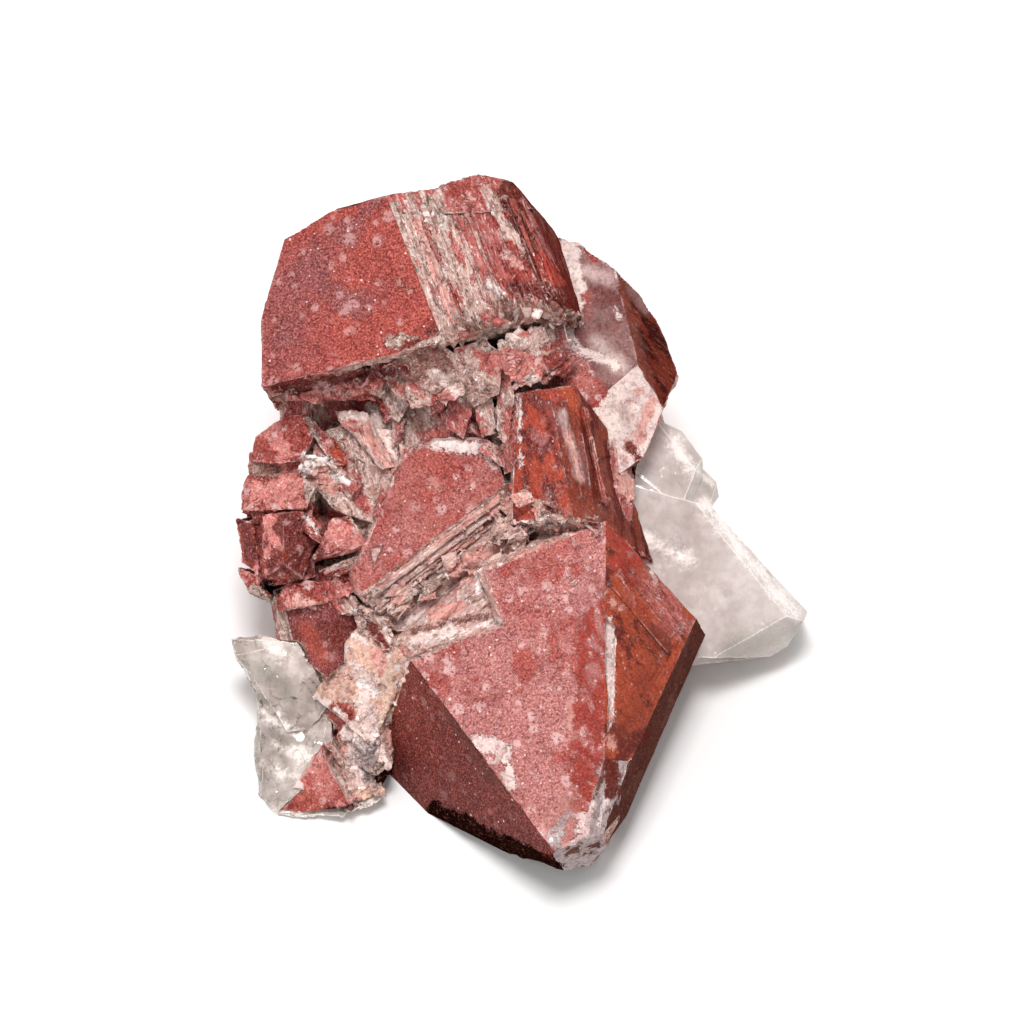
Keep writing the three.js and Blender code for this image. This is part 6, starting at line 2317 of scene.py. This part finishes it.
@dataclass(frozen=True)
class Lamp:
    """A square soft lamp that looks at the cluster and isn't seen itself.

    Args:
        name: Its name.
        away: From the cluster to the lamp, in metres.
        size: Its width, in metres.
        power: Its power, in watts.
    """

    name: str
    away: Point
    size: float
    power: float

    def build(self, target: Vector) -> None:
        """Hangs the lamp and turns it to the target."""
        data = bpy.data.lights.new(self.name, "AREA")
        data.size = self.size
        data.energy = self.power
        lamp = bpy.data.objects.new(self.name, data)
        lamp.visible_camera = False
        lamp.location = target + Vector(self.away)
        lamp.rotation_euler = look_along(-Vector(self.away))
        bpy.context.scene.collection.objects.link(lamp)


def look_along(direction: Vector) -> Any:
    """The turn that makes a lamp or camera look in a direction."""
    return direction.to_track_quat("-Z", "Y").to_euler()


@dataclass
class Studio:
    """Floor, lights and camera.

    Args:
        aim: Middle of the view in the display frame, in millimetres.
        width_mm: Width of the view at the aim.
        lens_mm: Focal length.
        sensor_mm: Width of the sensor.
        near: Nearest distance that the camera shows, in metres.
        floor_size: Half the floor's width, in metres.
        sky: Colour of the light from all round.
        sky_power: Its strength.
        lamps: The lamps.
    """

    aim: Point = (1.2, -1.2, 0.0)
    width_mm: float = 102.4
    lens_mm: float = 200.0
    sensor_mm: float = 36.0
    near: float = 0.01
    floor_size: float = 3.0
    sky: Colour = (1.0, 0.995, 0.99)
    sky_power: float = 0.55
    lamps: tuple[Lamp, ...] = (
        Lamp("key", (-0.02, -0.06, 0.46), 0.14, 1.7),
        Lamp("rim", (0.10, 0.40, 0.22), 0.20, 0.4),
        Lamp("fill", (-0.34, -0.30, 0.24), 0.40, 0.5),
    )

    def build(self) -> None:
        """Makes them all, with plain colours instead of a film curve."""
        self._floor()
        self._world()
        target = Vector(to_world(np.array([self.aim]))[0])
        for lamp in self.lamps:
            lamp.build(target)
        self._camera(target)
        bpy.context.scene.view_settings.view_transform = "Standard"

    def _floor(self) -> None:
        """A wide pale floor under the cluster."""
        mesh = bpy.data.meshes.new("floor")
        with edited(mesh) as work:
            bmesh.ops.create_grid(work, x_segments=1, y_segments=1, size=self.floor_size)
        mesh.materials.append(PlainFloor().build())
        new_object("floor", mesh)

    def _world(self) -> None:
        """Even soft light from all round."""
        world = bpy.data.worlds.new("studio")
        world.use_nodes = True
        background = world.node_tree.nodes["Background"]
        background.inputs["Color"].default_value = (*self.sky, 1.0)
        background.inputs["Strength"].default_value = self.sky_power
        bpy.context.scene.world = world

    def _camera(self, target: Vector) -> None:
        """A long lens that looks straight at the display side."""
        data = bpy.data.cameras.new("camera")
        data.lens = self.lens_mm
        data.sensor_width = self.sensor_mm
        data.clip_start = self.near
        camera = bpy.data.objects.new("camera", data)
        out = Vector(DISPLAY_AXES[:, 2])
        camera.location = target + out * (self.width_mm * MM * self.lens_mm / self.sensor_mm)
        camera.rotation_euler = look_along(-out)
        bpy.context.scene.collection.objects.link(camera)
        bpy.context.scene.camera = camera


# ---------------- the cluster

CUT_GROW = 0.03  # millimetres by which the clear crystals' sockets in the red body are wider than they are


def display_solid() -> Mesh:
    """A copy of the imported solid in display-frame millimetres, with its doubled vertices joined."""
    mesh = frame["nodes"][NODE].data.copy()
    move_vertices(mesh, to_display(coordinates(mesh)))
    mesh.materials.clear()
    with edited(mesh) as work:
        bmesh.ops.remove_doubles(work, verts=work.verts, dist=WELD_MM)
    return mesh


def settle(piece: Object, slot: str) -> None:
    """Makes a finished piece ride with the cluster and stand for its solid."""
    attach(piece, BODY)
    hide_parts(NODE)
    LOG.info("piece %s: slot %s, %d faces", piece.name, slot, len(piece.data.polygons))


def main() -> None:
    """Builds the cluster piece by piece, then the studio."""
    logging.basicConfig(level=logging.INFO, format="%(message)s")
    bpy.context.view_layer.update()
    point = ClearGrowth("clear_point", (CLEAR_POINT, CLEAR_FOOT, *CLEAR_ROOT), FROST_AND_HIGHLIGHT_POINT, DUSKY_POINT)
    shard = ClearGrowth("clear_shard", CLEAR_SHARD, FROST_AND_HIGHLIGHT_SHARD, DUSKY_SHARD, 0.36, 0.2, 0.26, 1.5, 5)
    growths = (point, shard)
    stone = StainedStone().build()
    solid = combined(display_solid(), [growth.solid(CUT_GROW) for growth in growths], "DIFFERENCE")
    sockets = [crystal for growth in growths for crystal in growth.crystals]
    halves = RedBody().build(solid, sockets, stone)
    for piece in (*halves, StoneCrumbs().build(halves, stone)):
        settle(piece, RED_SLOT)
    milky = ClearQuartz("milky_quartz", srgb(240, 226, 221), srgb(222, 203, 197), 0.64, 0.16)
    settle(point.build(milky.build()), CLEAR_SLOT)
    glassy = ClearQuartz(
        "grey_quartz", srgb(230, 214, 206), srgb(196, 178, 168), 0.58, 0.35, 18.0, (0.86, 0.83, 0.79)
    )
    settle(shard.build(glassy.build()), CLEAR_SLOT)
    Studio().build()


if __name__ == "__main__":
    main()
